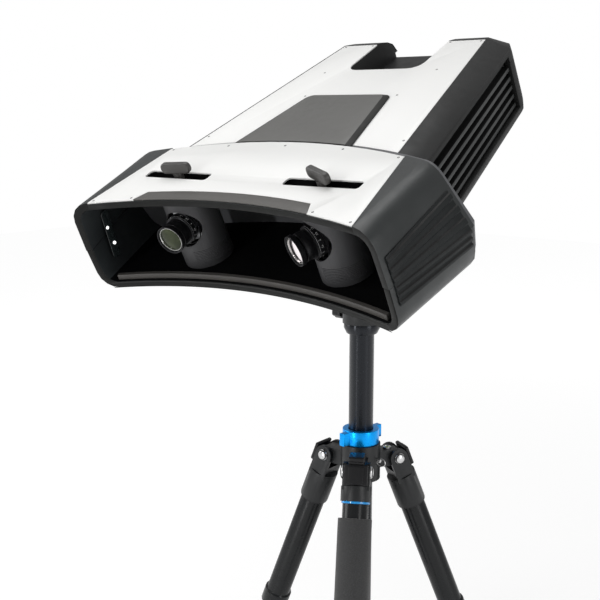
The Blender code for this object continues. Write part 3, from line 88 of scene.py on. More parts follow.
# Where the scanner and its parts are, from the joints of the frame
PITCH = radians(26.8)
joints = {joint["name"]: joint for joint in frame["joints"]}
TILT_AXIS = Vector(joints["head_tilt"]["pos_m"])
SCANNER_FROM_AXIS = Vector((0, -0.2568, 0.1855))
SCANNER = Matrix.Translation(TILT_AXIS) @ turned(PITCH, "X") @ Matrix.Translation(SCANNER_FROM_AXIS)
HUB_TOP = joints["collar_turn"]["pos_m"][2]
HUB_FRAME = moved(0, TILT_AXIS.y, HUB_TOP)

# Viewpoint of the photograph, from the tilt axis
CAMERA_FROM_AXIS = Vector((0.8862, -1.24576, 0.16088))
CAMERA_AHEAD = Vector((-0.6186, 0.7642, -0.1823))
FRAME_PIXELS = 600
FOCAL_PIXELS = 1017
SENSOR_WIDTH = 36

# Sizes of the pieces modelled here, in the scanner's own frame
OPTICS_BELOW = 0.066
LENS_REACH = 0.0625
SPINDLE_OUT = 0.123
SPINDLE_BACK = 0.0562
CAMERA_TURNS = {"left": radians(5.9), "right": radians(-24.3)}
SIDES = {"left": -1, "right": 1}
FRONT_RADIUS = 0.857
FRONT_HALF = 0.2545
ROOM_MIDDLE = -0.070
RIM_DEPTH = 0.0045
BACK_WALL_FROM = 0.02
SLOT_HALF_REACH = 0.2
SIDE_WALL_FROM = 0.22
GLASS_RADIUS = 0.0171
MARK_RADIUS = 0.02243
MARK_HEIGHT = 0.0322
MARK_SIZE = 0.0034
MARK_START = radians(-70)
MARK_STEP = radians(23)
PAINT_LIFT = 0.00004
RIM_GROOVES = 4
RIM_GROOVE_PITCH = 0.00105
KNURL_TEETH = 56
COWL_RIBS = 9
COWL_RIB_PITCH = 0.0024
COWL_RIB_LOWEST = -0.1225
COWL_RIB_RADIUS = 0.0362
SILL_BEHIND = 0.0085
SILL_HEIGHT = -0.1272
SILL_SHARE = 0.93
LIP_LINE_SHARE = 0.965
# Name, height and width of the joint lines along the lower lip
LIP_LINES = [("lower_lip_line", -0.1325, 0.0018), ("lower_lip_edge", -0.1405, 0.0007)]
STRIP_PLACE = (-0.2487, 0.0015, -0.0715)
STRIP_TURN = radians(-6)
WALL_LEAN = radians(2.0)
INNER_LIGHTS = [(-0.2478, 0.0000, -0.0600), (-0.2478, 0.0010, -0.0860)]
# A face of these second materials, painted shade on the cover's flanks and the grip's rib walls and a
# painted highlight on the louvre's fins, has its normal beyond, or within, these shares
SHADED_FLANK_BELOW = 0.97
LIT_FIN_ABOVE = 0.75
SHADED_GROOVE_X_BELOW = 0.72
SHADED_GROOVE_Y_BELOW = 0.6
# Screws of the two white plates: x and y, in millimetres
VISOR_SCREWS = [(195, 124.5), (0, 146), (219.5, -22.5), (156, -8.4), (-195, 124.5), (-219.5, -22.5),
                (-156, -8.4), (100, 141), (-100, 141)]
BODY_SCREWS = [(170.5, 176), (-170.5, 176), (123.5, 483), (-123.5, 483), (71, 483.5), (-71, 483.5),
               (82, 306), (-82, 306), (101, 387), (-101, 387)]
SCREW_RADIUS = 0.0017
VISOR_SCREW_HEIGHT = 0.0001
BODY_SCREW_HEIGHT = -0.0049
MILLIMETRES = 1000

# The legs, in their own frames, and what the hub carries
LEGS = {"front": 0, "right": 120, "left": 240}
LEG_AZIMUTH = radians(30.5)
LEG_SPLAY = radians(22.2)
YOKE_SIDE = 0.0208
LEVEL_REACH = 0.046
LEVEL_DROP = 0.0150
LOOP_TURN = radians(62)
LOOP_REACH = 0.0372
LOOP_DROP = 0.026
POST_REACH = 0.0300
POST_DROP = 0.024
LATCH_PAD = (0, -0.0216, -0.0060)
STOP_BLOCK = (0, -0.0005, 0.0172)
STOP_RIB_BACK = -0.0144
STOP_RIB_LOWEST = 0.0105
STOP_RIB_PITCH = 0.0042

# Light
WORLD_LEVEL = 0.42
FLOOR_SIZE = 14
FLOOR_GAP = 0.0005
FLOOR_MIDDLE = 0.8
FLOOR_FAR = 3.5
FLOOR_SHARE = 0.4
FLOOR_WHITE_NEAR = 1.36
FLOOR_WHITE_FAR = 1.90
# Area lights: place from the tilt axis, height of the aim from it, size and watts
LAMPS = {
    "top_light": ((-0.4, -0.3, 2.2), 0, (2.0, 1.6), 28),
    "left_light": ((-2.2, -1.2, 0.8), 0, (1.2, 2.0), 25),
    "right_light": ((2.6, -0.3, 0.4), 0, (1.0, 2.2), 20),
    "column_strip": ((-0.33, -2.2, -0.15), -0.25, (0.06, 1.5), 13),
}

# Meshes
MERGE = 0.00001
NODE_MERGE = 0.00002
FLAT_ANGLE = radians(0.4)
GRAIN_DEPTH = 0.0002


# Modelling helpers


def only(piece):
    bpy.ops.object.select_all(action="DESELECT")
    piece.select_set(True)
    bpy.context.view_layer.objects.active = piece


def edit_mode(piece):
    only(piece)
    bpy.ops.object.mode_set(mode="EDIT")
    bpy.ops.mesh.select_all(action="SELECT")


def object_mode():
    bpy.ops.object.mode_set(mode="OBJECT")


def apply_modifiers(piece):
    only(piece)
    for modifier in list(piece.modifiers):
        bpy.ops.object.modifier_apply(modifier=modifier.name)


def shade(piece, angle=30):
    only(piece)
    bpy.ops.object.shade_smooth_by_angle(angle=radians(angle))


def softened_edges(piece, width, segments=2, angle=30):
    """Rounds every edge sharper than the angle."""
    bevel = piece.modifiers.new("edges", "BEVEL")
    bevel.width = width
    bevel.segments = segments
    bevel.limit_method = "ANGLE"
    bevel.angle_limit = radians(angle)
    bevel.use_clamp_overlap = True
    apply_modifiers(piece)
    shade(piece, angle)


def copy_of_node(node, name):
    """The node's own shape as clean faces, to be finished here."""
    piece = frame["nodes"][node].copy()
    piece.data = piece.data.copy()
    piece.name = name
    piece.parent = None
    for key in list(piece.keys()):
        del piece[key]
    bpy.context.scene.collection.objects.link(piece)
    piece.hide_render = False
    piece.hide_viewport = False
    edit_mode(piece)
    bpy.ops.mesh.remove_doubles(threshold=NODE_MERGE)
    bpy.ops.mesh.dissolve_limited(angle_limit=FLAT_ANGLE)
    object_mode()
    return piece


def dressed(piece, paint):
    piece.data.materials.clear()
    piece.data.materials.append(paint)
    return piece


def finished_node(node, paint, width=0.0006, segments=2, angle=30):
    """A node's shape with rounded edges, in the node's place."""
    piece = copy_of_node(node, node + "_finished")
    softened_edges(piece, width, segments, angle)
    dressed(piece, paint)
    dressed(frame["nodes"][node], paint)
    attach(piece, frame["nodes"][node]["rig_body"])
    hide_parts(node)
    return piece


def second_finish_or_painted_light(piece, paint, belongs):
    """Gives another material to the faces that belongs() picks by place and normal in the scanner's frame:
    a second finish such as the window rim, and also painted shade and painted highlights.
    """
    piece.data.materials.append(paint)
    slot = len(piece.data.materials) - 1
    local = SCANNER.inverted()
    turn = local.to_3x3()
    for face in piece.data.polygons:
        if belongs(local @ face.center, turn @ face.normal):
            face.material_index = slot


def settle(piece, place):
    """Moves a piece modelled at the origin to its place, and applies it."""
    only(piece)
    piece.matrix_world = place
    bpy.ops.object.transform_apply(location=True, rotation=True, scale=True)


def lathe(name, profile, sides=64, place=None, closed=False):
    """A profile of (radius, height) points, extruded point by point and spun about Z."""
    bpy.ops.mesh.primitive_plane_add(size=0.001)
    piece = bpy.context.active_object
    piece.name = name
    bpy.ops.object.mode_set(mode="EDIT")
    bpy.ops.mesh.select_mode(type="VERT")
    bpy.ops.mesh.select_all(action="SELECT")
    bpy.ops.mesh.merge(type="CENTER")
    radius, height = profile[0]
    bpy.ops.transform.translate(value=(radius, 0, height))
    steps = profile + profile[:1] if closed else profile
    for (r0, h0), (r1, h1) in zip(steps, steps[1:]):
        bpy.ops.mesh.extrude_vertices_move(TRANSFORM_OT_translate={"value": (r1 - r0, 0, h1 - h0)})
    bpy.ops.mesh.select_all(action="SELECT")
    bpy.ops.mesh.spin(steps=sides, angle=2 * pi, center=(0, 0, 0), axis=(0, 0, 1))
    bpy.ops.mesh.select_all(action="SELECT")
    bpy.ops.mesh.remove_doubles(threshold=MERGE)
    bpy.ops.mesh.normals_make_consistent(inside=False)
    object_mode()
    if place:
        settle(piece, place)
    return piece


# Finishes, and painted shade and highlights


def shader_nodes(name):
    paint = bpy.data.materials.new(name)
    paint.use_nodes = True
    tree = paint.node_tree
    return paint, tree, tree.nodes["Principled BSDF"]


def object_noise(tree, scale, detail=4.0, stretch=(1, 1, 1)):
    where = tree.nodes.new("ShaderNodeTexCoord")
    mapping = tree.nodes.new("ShaderNodeMapping")
    mapping.inputs["Scale"].default_value = stretch
    noise = tree.nodes.new("ShaderNodeTexNoise")
    noise.inputs["Scale"].default_value = scale
    noise.inputs["Detail"].default_value = detail
    tree.links.new(where.outputs["Object"], mapping.inputs["Vector"])
    tree.links.new(mapping.outputs["Vector"], noise.inputs["Vector"])
    return noise.outputs["Fac"]


def ramp(tree, value, low, high):
    """A value spread between two numbers, or two colours."""
    spread = tree.nodes.new("ShaderNodeMapRange")
    spread.inputs["From Min"].default_value = 0.3
    spread.inputs["From Max"].default_value = 0.7
    spread.inputs["To Min"].default_value = low
    spread.inputs["To Max"].default_value = high
    tree.links.new(value, spread.inputs["Value"])
    return spread.outputs["Result"]


def colour_ramp(tree, value, low, high):
    blend = tree.nodes.new("ShaderNodeValToRGB")
    blend.color_ramp.elements[0].position = 0.3
    blend.color_ramp.elements[1].position = 0.7
    blend.color_ramp.elements[0].color = (*low, 1)
    blend.color_ramp.elements[1].color = (*high, 1)
    tree.links.new(value, blend.inputs["Fac"])
    return blend.outputs["Color"]


def bumped(tree, shader, height, strength, distance):
    bump = tree.nodes.new("ShaderNodeBump")
    bump.inputs["Strength"].default_value = strength
    bump.inputs["Distance"].default_value = distance
    tree.links.new(height, bump.inputs["Height"])
    tree.links.new(bump.outputs["Normal"], shader.inputs["Normal"])


def moulded(name, colour, roughness, grain=2200, bump=0.25, spread=0.12, gloss=0.5):
    """Moulded plastic with a spark-eroded grain and faint cloudy variation."""
    paint, tree, shader = shader_nodes(name)
    shader.inputs["Specular IOR Level"].default_value = gloss
    clouds = object_noise(tree, 14)
    low = tuple(c * (1 - spread) for c in colour)
    high = tuple(c * (1 + spread) for c in colour)
    tree.links.new(colour_ramp(tree, clouds, low, high), shader.inputs["Base Color"])
    sheen = ramp(tree, object_noise(tree, 60), roughness - 0.05, roughness + 0.05)
    tree.links.new(sheen, shader.inputs["Roughness"])
    bumped(tree, shader, object_noise(tree, grain, 2.0), bump, GRAIN_DEPTH)
    return paint


def coated_sheet(name, colour, roughness):
    """Powder-coated sheet metal: an orange peel that is only seen in the gloss."""
    paint, tree, shader = shader_nodes(name)
    low = tuple(c * 0.97 for c in colour)
    tree.links.new(colour_ramp(tree, object_noise(tree, 5), low, colour), shader.inputs["Base Color"])
    sheen = ramp(tree, object_noise(tree, 90), roughness - 0.04, roughness + 0.04)
    tree.links.new(sheen, shader.inputs["Roughness"])
    bumped(tree, shader, object_noise(tree, 900, 2.0), 0.08, GRAIN_DEPTH)
    return paint


def metal(name, colour, roughness, stretch=(1, 1, 1), grain=400, metallic=1.0, bump=0.05):
    """Metal with fine tool marks along one direction."""
    paint, tree, shader = shader_nodes(name)
    shader.inputs["Metallic"].default_value = metallic
    marks = object_noise(tree, grain, 3.0, stretch)
    low = tuple(c * 0.88 for c in colour)
    tree.links.new(colour_ramp(tree, marks, low, colour), shader.inputs["Base Color"])
    tree.links.new(ramp(tree, marks, roughness - 0.05, roughness + 0.06), shader.inputs["Roughness"])
    bumped(tree, shader, marks, bump, GRAIN_DEPTH)
    return paint


def lacquer(name, colour, roughness, coat=0.6, gloss=0.5):
    """Gloss lacquer over paint, with faint handling marks in the gloss."""
    paint, tree, shader = shader_nodes(name)
    shader.inputs["Coat Weight"].default_value = coat
    shader.inputs["Coat Roughness"].default_value = 0.06
    shader.inputs["Specular IOR Level"].default_value = gloss
    low = tuple(c * 0.8 for c in colour)
    tree.links.new(colour_ramp(tree, object_noise(tree, 25), low, colour), shader.inputs["Base Color"])
    sheen = ramp(tree, object_noise(tree, 35), roughness - 0.04, roughness + 0.08)
    tree.links.new(sheen, shader.inputs["Roughness"])
    bumped(tree, shader, object_noise(tree, 700, 2.0), 0.04, GRAIN_DEPTH)
    return paint


def drawn_tube(name, colour, roughness):
    """Black anodised tube turned on a lathe: its highlights run along it as narrow streaks."""
    paint, tree, shader = shader_nodes(name)
    shader.inputs["Anisotropic"].default_value = 0.92
    shader.inputs["Specular IOR Level"].default_value = 0.4
    shader.inputs["Anisotropic Rotation"].default_value = 0.25
    shader.inputs["Specular Tint"].default_value = (0.86, 0.90, 1.0, 1)
    around = tree.nodes.new("ShaderNodeTangent")
    around.direction_type = "RADIAL"
    around.axis = "Z"
    tree.links.new(around.outputs["Tangent"], shader.inputs["Tangent"])
    marks = object_noise(tree, 250, 3.0, (1, 1, 8))
    low = tuple(c * 0.8 for c in colour)
    tree.links.new(colour_ramp(tree, marks, low, colour), shader.inputs["Base Color"])
    tree.links.new(ramp(tree, marks, roughness - 0.02, roughness + 0.03), shader.inputs["Roughness"])
    return paint


def foam_rubber(name, colour):
    """Closed-cell foam: open pores and a soft dull sheen."""
    paint, tree, shader = shader_nodes(name)
    where = tree.nodes.new("ShaderNodeTexCoord")
    cells = tree.nodes.new("ShaderNodeTexVoronoi")
    cells.inputs["Scale"].default_value = 900
    tree.links.new(where.outputs["Object"], cells.inputs["Vector"])
    # The pits of the cells, where the bump sinks, are painted darker: painted shade in the pores.
    low = tuple(c * 0.6 for c in colour)
    tree.links.new(colour_ramp(tree, cells.outputs["Distance"], low, colour), shader.inputs["Base Color"])
    shader.inputs["Roughness"].default_value = 0.9
    shader.inputs["Sheen Weight"].default_value = 0.25
    bumped(tree, shader, cells.outputs["Distance"], 0.5, 0.0004)
    return paint


def glow(name, colour, strength):
    """A lit lamp, a little uneven over its lens."""
    paint, tree, shader = shader_nodes(name)
    low = tuple(c * 0.85 for c in colour)
    shade_of_lamp = colour_ramp(tree, object_noise(tree, 300), low, colour)
    tree.links.new(shade_of_lamp, shader.inputs["Base Color"])
    tree.links.new(shade_of_lamp, shader.inputs["Emission Color"])
    shader.inputs["Emission Strength"].default_value = strength
    shader.inputs["Roughness"].default_value = 0.3
    return paint


def coated_glass(name, deep, tint, metallic, roughness=0.04, coat=1.0):
    """A lens face: dark glass under a coating that colours its reflection; given bright colours it is a
    painted reflection.
    """
    paint, tree, shader = shader_nodes(name)
    tree.links.new(colour_ramp(tree, object_noise(tree, 40), deep, tint), shader.inputs["Base Color"])
    shader.inputs["Metallic"].default_value = metallic
    shader.inputs["Roughness"].default_value = roughness
    shader.inputs["Coat Weight"].default_value = coat
    shader.inputs["Coat Roughness"].default_value = 0.02
    shader.inputs["Specular IOR Level"].default_value = coat / 2
    return paint


CHARCOAL = moulded("charcoal_moulding", (0.024, 0.0270, 0.0275), 0.38, gloss=0.45)
# Painted shade: faces and parts deep inside the window are painted near black, and the window's inner side
# walls get a lighter copy of the charcoal where light reaches them.
ROOM_PAINTED_SHADE = moulded("room_painted_shade", (0.0012, 0.0012, 0.0015), 0.8, gloss=0.08)
ROOM_SIDE_LIT_COPY = moulded("room_side_wall_lit_copy", (0.026, 0.030, 0.032), 0.5, gloss=0.25)
RIM = moulded("window_rim", (0.0085, 0.009, 0.0085), 0.45, gloss=0.12)
SILL = moulded("window_sill", (0.050, 0.046, 0.042), 0.5)
# Painted shade for the sloping flanks of the raised cover, much darker than its top.
COVER_FLANK_SHADE = moulded("cover_flank_painted_shade", (0.016, 0.016, 0.015), 0.5, gloss=0.2)
# Painted highlight: the louvre faces that face outward are given about ten times the louvre's own
# lightness.
FIN_EDGE_HIGHLIGHT = moulded("louvre_fin_painted_highlight", (0.040, 0.042, 0.042), 0.42, gloss=0.4)
CHARCOAL_BODY = moulded("charcoal_body_moulding", (0.016, 0.0163, 0.0163), 0.48, gloss=0.25)
WHITE = coated_sheet("white_coated_sheet", (0.825, 0.825, 0.812), 0.34)
BROW = moulded("brown_grey_trim", (0.078, 0.074, 0.069), 0.45, spread=0.05)
COVER = moulded("warm_grey_cover", (0.098, 0.097, 0.092), 0.42, spread=0.04)
COLLAR = moulded("light_grey_collar", (0.10, 0.102, 0.108), 0.42, spread=0.03)
GRIP = moulded("grip_rubber", (0.0085, 0.0105, 0.011), 0.52, grain=3000, bump=0.35, gloss=0.25)
LOUVRE = moulded("louvre_moulding", (0.004, 0.0042, 0.0042), 0.5, gloss=0.12)
COWL = moulded("grey_black_cowl", (0.066, 0.066, 0.069), 0.5, grain=2600, spread=0.05, gloss=0.3)
BLACK = moulded("black_plastic", (0.009, 0.009, 0.010), 0.4, gloss=0.3)
LENS_BLACK = metal("black_anodised_lens", (0.02, 0.02, 0.022), 0.32, (1, 1, 1), 600, 0.6)
GLOSS_BLACK = lacquer("gloss_black_tube", (0.010, 0.011, 0.012), 0.24, 0.0, 0.28)
COLUMN_BLACK = drawn_tube("drawn_column_tube", (0.003, 0.0036, 0.0045), 0.28)
CASTING = moulded("painted_casting", (0.0135, 0.0145, 0.0155), 0.40, grain=1400, bump=0.3, gloss=0.35)
BLUE = metal("blue_anodised", (0.0, 0.38, 1.0), 0.30, (1, 1, 12), 300, 0.8)
CHROME = metal("chromed_bolt", (0.62, 0.62, 0.62), 0.30, (1, 1, 1), 300, 1.0, 0.02)
STEEL = metal("brushed_steel", (0.42, 0.42, 0.43), 0.35, (30, 1, 1), 120)
ALUMINIUM = metal("milled_aluminium", (0.55, 0.56, 0.57), 0.35, (1, 20, 1), 150)
FOAM = foam_rubber("grip_foam", (0.045, 0.045, 0.046))
BOARD = lacquer("solder_mask", (0.01, 0.10, 0.04), 0.3, 0.3)
LEFT_GLASS = coated_glass("green_coated_glass", (0.014, 0.018, 0.010), (0.055, 0.066, 0.034), 0.30,
                          coat=0.15)
# The right lens's glass is a bright pinkish mirror: a painted reflection of the studio light on it.
REFLECTION_PAINTED_GLASS = coated_glass("glass_with_painted_reflection", (0.75, 0.66, 0.68), (0.92, 0.88, 0.88), 0.95, 0.08)
LED = glow("small_white_light", (1.0, 1.0, 1.0), 1.6)
LEVER = moulded("lever_plastic", (0.045, 0.043, 0.041), 0.42, spread=0.05)
SCREW = metal("dark_screw", (0.10, 0.10, 0.10), 0.35, (1, 1, 1), 500, 0.8)
MARK_WHITE = moulded("engraved_paint", (0.75, 0.75, 0.75), 0.6, spread=0.03)
RIM_SILVER = metal("silver_rim", (0.62, 0.62, 0.60), 0.22, (1, 1, 1), 500)
STRIP = lacquer("clear_strip", (0.02, 0.026, 0.027), 0.12, 1.0)
# Dark joint lines along the lip and the ring in the level, and also painted shade on the walls of the
# grip's ribs.
JOINT_LINE_AND_GROOVE_SHADE = moulded("joint_line_and_groove_shade", (0.004, 0.004, 0.004), 0.7, spread=0.03)
BLUE_BRIGHT = lacquer("blue_ring", (0.0, 0.34, 0.85), 0.25)
VIAL = lacquer("level_vial", (0.45, 0.60, 0.12), 0.1, 1.0)


def scanner_node_finishes():
    """The nodes whose own shape stays, in their finishes."""
    paints = {
        # The rail, carriages and projector housing inside the window are painted near black as painted
        # shade.
        "slide_rail": ROOM_PAINTED_SHADE, "camera_carriage_left": ROOM_PAINTED_SHADE, "camera_carriage_right": ROOM_PAINTED_SHADE,
        "mounting_plate": STEEL, "control_board": BOARD, "fan_frame": BLACK, "fan_rotor": BLACK,
        "projector_housing": ROOM_PAINTED_SHADE, "camera_body_left": ALUMINIUM, "camera_body_right": ALUMINIUM,
    }
    for node, paint in paints.items():
        dressed(frame["nodes"][node], paint)


def behind_the_rim(place):
    return place.y + FRONT_RADIUS - (FRONT_RADIUS ** 2 - place.x ** 2) ** 0.5


def in_the_room(place, normal):
    """On the visor's inner faces, or in the walls of the lever slots: the faces painted near black as
    painted shade.
    """
    behind = behind_the_rim(place)
    if behind < RIM_DEPTH:
        return False
    to_middle = Vector((-place.x, 0, ROOM_MIDDLE - place.z)).normalized()
    at_back = behind > BACK_WALL_FROM
    in_slot = at_back and place.z > -0.0125 and normal.z < 0.3 and abs(place.x) < SLOT_HALF_REACH
    return normal.dot(to_middle) > 0.25 or in_slot or (at_back and normal.y < -0.5)


def on_the_side_wall(place, normal):
    return in_the_room(place, normal) and abs(place.x) > SIDE_WALL_FROM and abs(normal.x) > 0.6


def on_the_rim(place, normal):
    return behind_the_rim(place) < 0.006 and normal.y < -0.3 and place.z < -0.001


def on_a_shaded_groove_wall(place, normal):
    return abs(normal.x) < SHADED_GROOVE_X_BELOW and abs(normal.y) < SHADED_GROOVE_Y_BELOW


def on_the_shaded_flank(place, normal):
    return normal.z < SHADED_FLANK_BELOW


def on_a_lit_fin_face(place, normal):
    return abs(normal.x) > LIT_FIN_ABOVE


def visor_pieces():
    for half in ("upper", "lower"):
        shell = finished_node("visor_%s_shell" % half, CHARCOAL, 0.0012, 3)
        # Painted shade: the shell's faces inside the window go near black, and its inner side walls get a
        # lighter copy where light reaches them.
        second_finish_or_painted_light(shell, ROOM_PAINTED_SHADE, in_the_room)
        second_finish_or_painted_light(shell, ROOM_SIDE_LIT_COPY, on_the_side_wall)
        second_finish_or_painted_light(shell, RIM, on_the_rim)
    finished_node("visor_top_plate", WHITE, 0.0004)
    finished_node("brow_trim", BROW, 0.0006)
    finished_node("visor_rear_collar", COLLAR, 0.0010)
    for side in SIDES:
        grip = finished_node("side_grip_" + side, GRIP, 0.0005)
        # The grip's rib walls, which face neither sideways nor forward, are painted near black as painted
        # shade in its grooves.
        second_finish_or_painted_light(grip, JOINT_LINE_AND_GROOVE_SHADE, on_a_shaded_groove_wall)


def body_pieces():
    finished_node("body_upper_shell", CHARCOAL_BODY, 0.0015, 3)
    finished_node("body_lower_shell", CHARCOAL_BODY, 0.0015, 3)
    finished_node("body_top_plate", WHITE, 0.0004)
    cover = finished_node("raised_cover", COVER, 0.0012, 3)
    # The cover's sloping flanks are painted dark as painted shade.
    second_finish_or_painted_light(cover, COVER_FLANK_SHADE, on_the_shaded_flank)
    for side in SIDES:
        louvre = finished_node("side_louvre_" + side, LOUVRE, 0.0006)
        # The outward faces of the fins are painted lighter as a painted highlight.
        second_finish_or_painted_light(louvre, FIN_EDGE_HIGHLIGHT, on_a_lit_fin_face)
    finished_node("rear_connector_panel", BLACK, 0.0003)
    finished_node("power_button", GLOSS_BLACK, 0.0004)


def at_camera(side):
    return SCANNER @ moved(SIDES[side] * SPINDLE_OUT, SPINDLE_BACK, 0) @ turned(CAMERA_TURNS[side], "Z")


def at_lens(side):
    """Along +Z out of the lens."""
    return at_camera(side) @ moved(0, 0, -OPTICS_BELOW) @ turned(pi / 2, "X")


def body_of(node):
    return frame["nodes"][node]["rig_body"]


def replacing(piece, node, paint):
    dressed(piece, paint)
    dressed(frame["nodes"][node], paint)
    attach(piece, body_of(node))
    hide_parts(node)


def riding(piece, node, paint):
    dressed(piece, paint)
    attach(piece, body_of(node))


def joined_pieces(first, *others):
    only(first)
    for other in others:
        other.select_set(True)
    bpy.ops.object.join()
    return first


def rounded_block(name, size, corner, edge, axis="Y", place=None):
    """A block with large corner roundings along one axis and small roundings on every other edge."""
    bpy.ops.mesh.primitive_cube_add(size=1)
    piece = bpy.context.active_object
    piece.name = name
    only(piece)
    bpy.ops.transform.resize(value=size)
    bpy.ops.object.transform_apply(location=True, rotation=True, scale=True)
    along = "XYZ".index(axis)
    bpy.ops.object.mode_set(mode="EDIT")
    bpy.ops.mesh.select_all(action="DESELECT")
    bpy.ops.mesh.select_mode(type="EDGE")
    object_mode()
    for edge_line in piece.data.edges:
        a, b = (piece.data.vertices[i].co for i in edge_line.vertices)
        edge_line.select = abs((a - b)[along]) > size[along] / 2
    bpy.ops.object.mode_set(mode="EDIT")
    bpy.ops.mesh.bevel(offset=corner, segments=8, affect="EDGES")
    object_mode()
    softened_edges(piece, edge, 4, 40)
    if place:
        settle(piece, place)
    return piece


def lever_pieces():
    """A thumb paddle with soft edges on a narrow neck that comes up through the slot."""
    for side in SIDES:
        paddle = rounded_block("paddle", (0.0495, 0.0084, 0.0158), 0.0072, 0.0022, "Y", moved(0, 0, 0.0114))
        neck = rounded_block("neck", (0.0150, 0.0064, 0.012), 0.002, 0.0008, "Z", moved(0, 0, 0.001))
        spindle = lathe("spindle", [(0, -0.0165), (0.005, -0.0165), (0.005, 0.004), (0, 0.004)], 32)
        lever = joined_pieces(paddle, neck, spindle)
        lever.name = "thumb_lever_" + side
        settle(lever, at_camera(side))
        shade(lever, 40)
        replacing(lever, "camera_lever_" + side, LEVER)


def ridged(start, pitch, count, outer, inner):
    """Points of fine turned grooves along a lens ring."""
    points = []
    for i in range(count):
        low = start + i * pitch
        points += [(outer, low), (outer, low + pitch * 0.55)]
        points += [(inner, low + pitch * 0.62), (inner, low + pitch * 0.93)]
    return points


def knurled_ring(name, radius, low, high, bore, teeth, place):
    """A ring whose outside has straight knurling between two plain shoulders."""
    shoulder = (high - low) * 0.16
    depth = 0.0005
    plain = radius - depth / 4
    edge = 0.0003
    profile = [
        (bore, low), (radius - depth, low), (plain, low + edge), (plain, low + shoulder),
        (radius, low + shoulder + edge), (radius, high - shoulder - edge),
        (plain, high - shoulder), (plain, high - edge), (radius - depth, high), (bore, high),
    ]
    ring = lathe(name, profile, teeth * 4, closed=True)
    for vertex in ring.data.vertices:
        flat = Vector((vertex.co.x, vertex.co.y)).length
        step = round((angle_round(vertex.co) / (2 * pi)) * teeth * 4) % 4
        vertex.select = flat > radius - depth / 8 and step in (2, 3)
    only(ring)
    bpy.ops.object.mode_set(mode="EDIT")
    bpy.ops.mesh.select_mode(type="VERT")
    share = 1 - depth / radius
    bpy.ops.transform.resize(value=(share, share, 1), center_override=(0, 0, 0))
    object_mode()
    settle(ring, place)
    shade(ring, 25)
    return ring


def angle_round(point):
    return atan2(point.y, point.x) % (2 * pi)


def scale_marks(name, marks, place):
    """Engraved numbers and ticks round a lens ring, as thin paint on its surface."""
    made = []
    for i, mark in enumerate(marks):
        bpy.ops.object.text_add()
        text = bpy.context.active_object
        text.data.body = mark
        text.data.size = MARK_SIZE
        text.data.align_x = "CENTER"
        text.data.align_y = "CENTER"
        text.data.extrude = PAINT_LIFT
        text.data.resolution_u = 3
        only(text)
        bpy.ops.object.convert(target="MESH")
        turn = MARK_START + i * MARK_STEP
        stand = turned(turn, "Z") @ moved(MARK_RADIUS, 0, MARK_HEIGHT) @ Matrix(
            ((0, 0, 1, 0), (1, 0, 0, 0), (0, 1, 0, 0), (0, 0, 0, 1)))
        settle(text, stand)
        made.append(text)
        bpy.ops.mesh.primitive_cube_add(size=1)
        tick = bpy.context.active_object
        only(tick)
        bpy.ops.transform.resize(value=(2 * PAINT_LIFT, MARK_SIZE * 0.09, MARK_SIZE * 0.4))
        bpy.ops.transform.translate(value=(MARK_RADIUS, 0, MARK_HEIGHT + MARK_SIZE * 0.85))
        bpy.ops.object.transform_apply(location=True, rotation=True, scale=True)
        settle(tick, turned(turn, "Z"))
        made.append(tick)
    marks_piece = joined_pieces(*made)
    marks_piece.name = name
    settle(marks_piece, place)
    return marks_piece


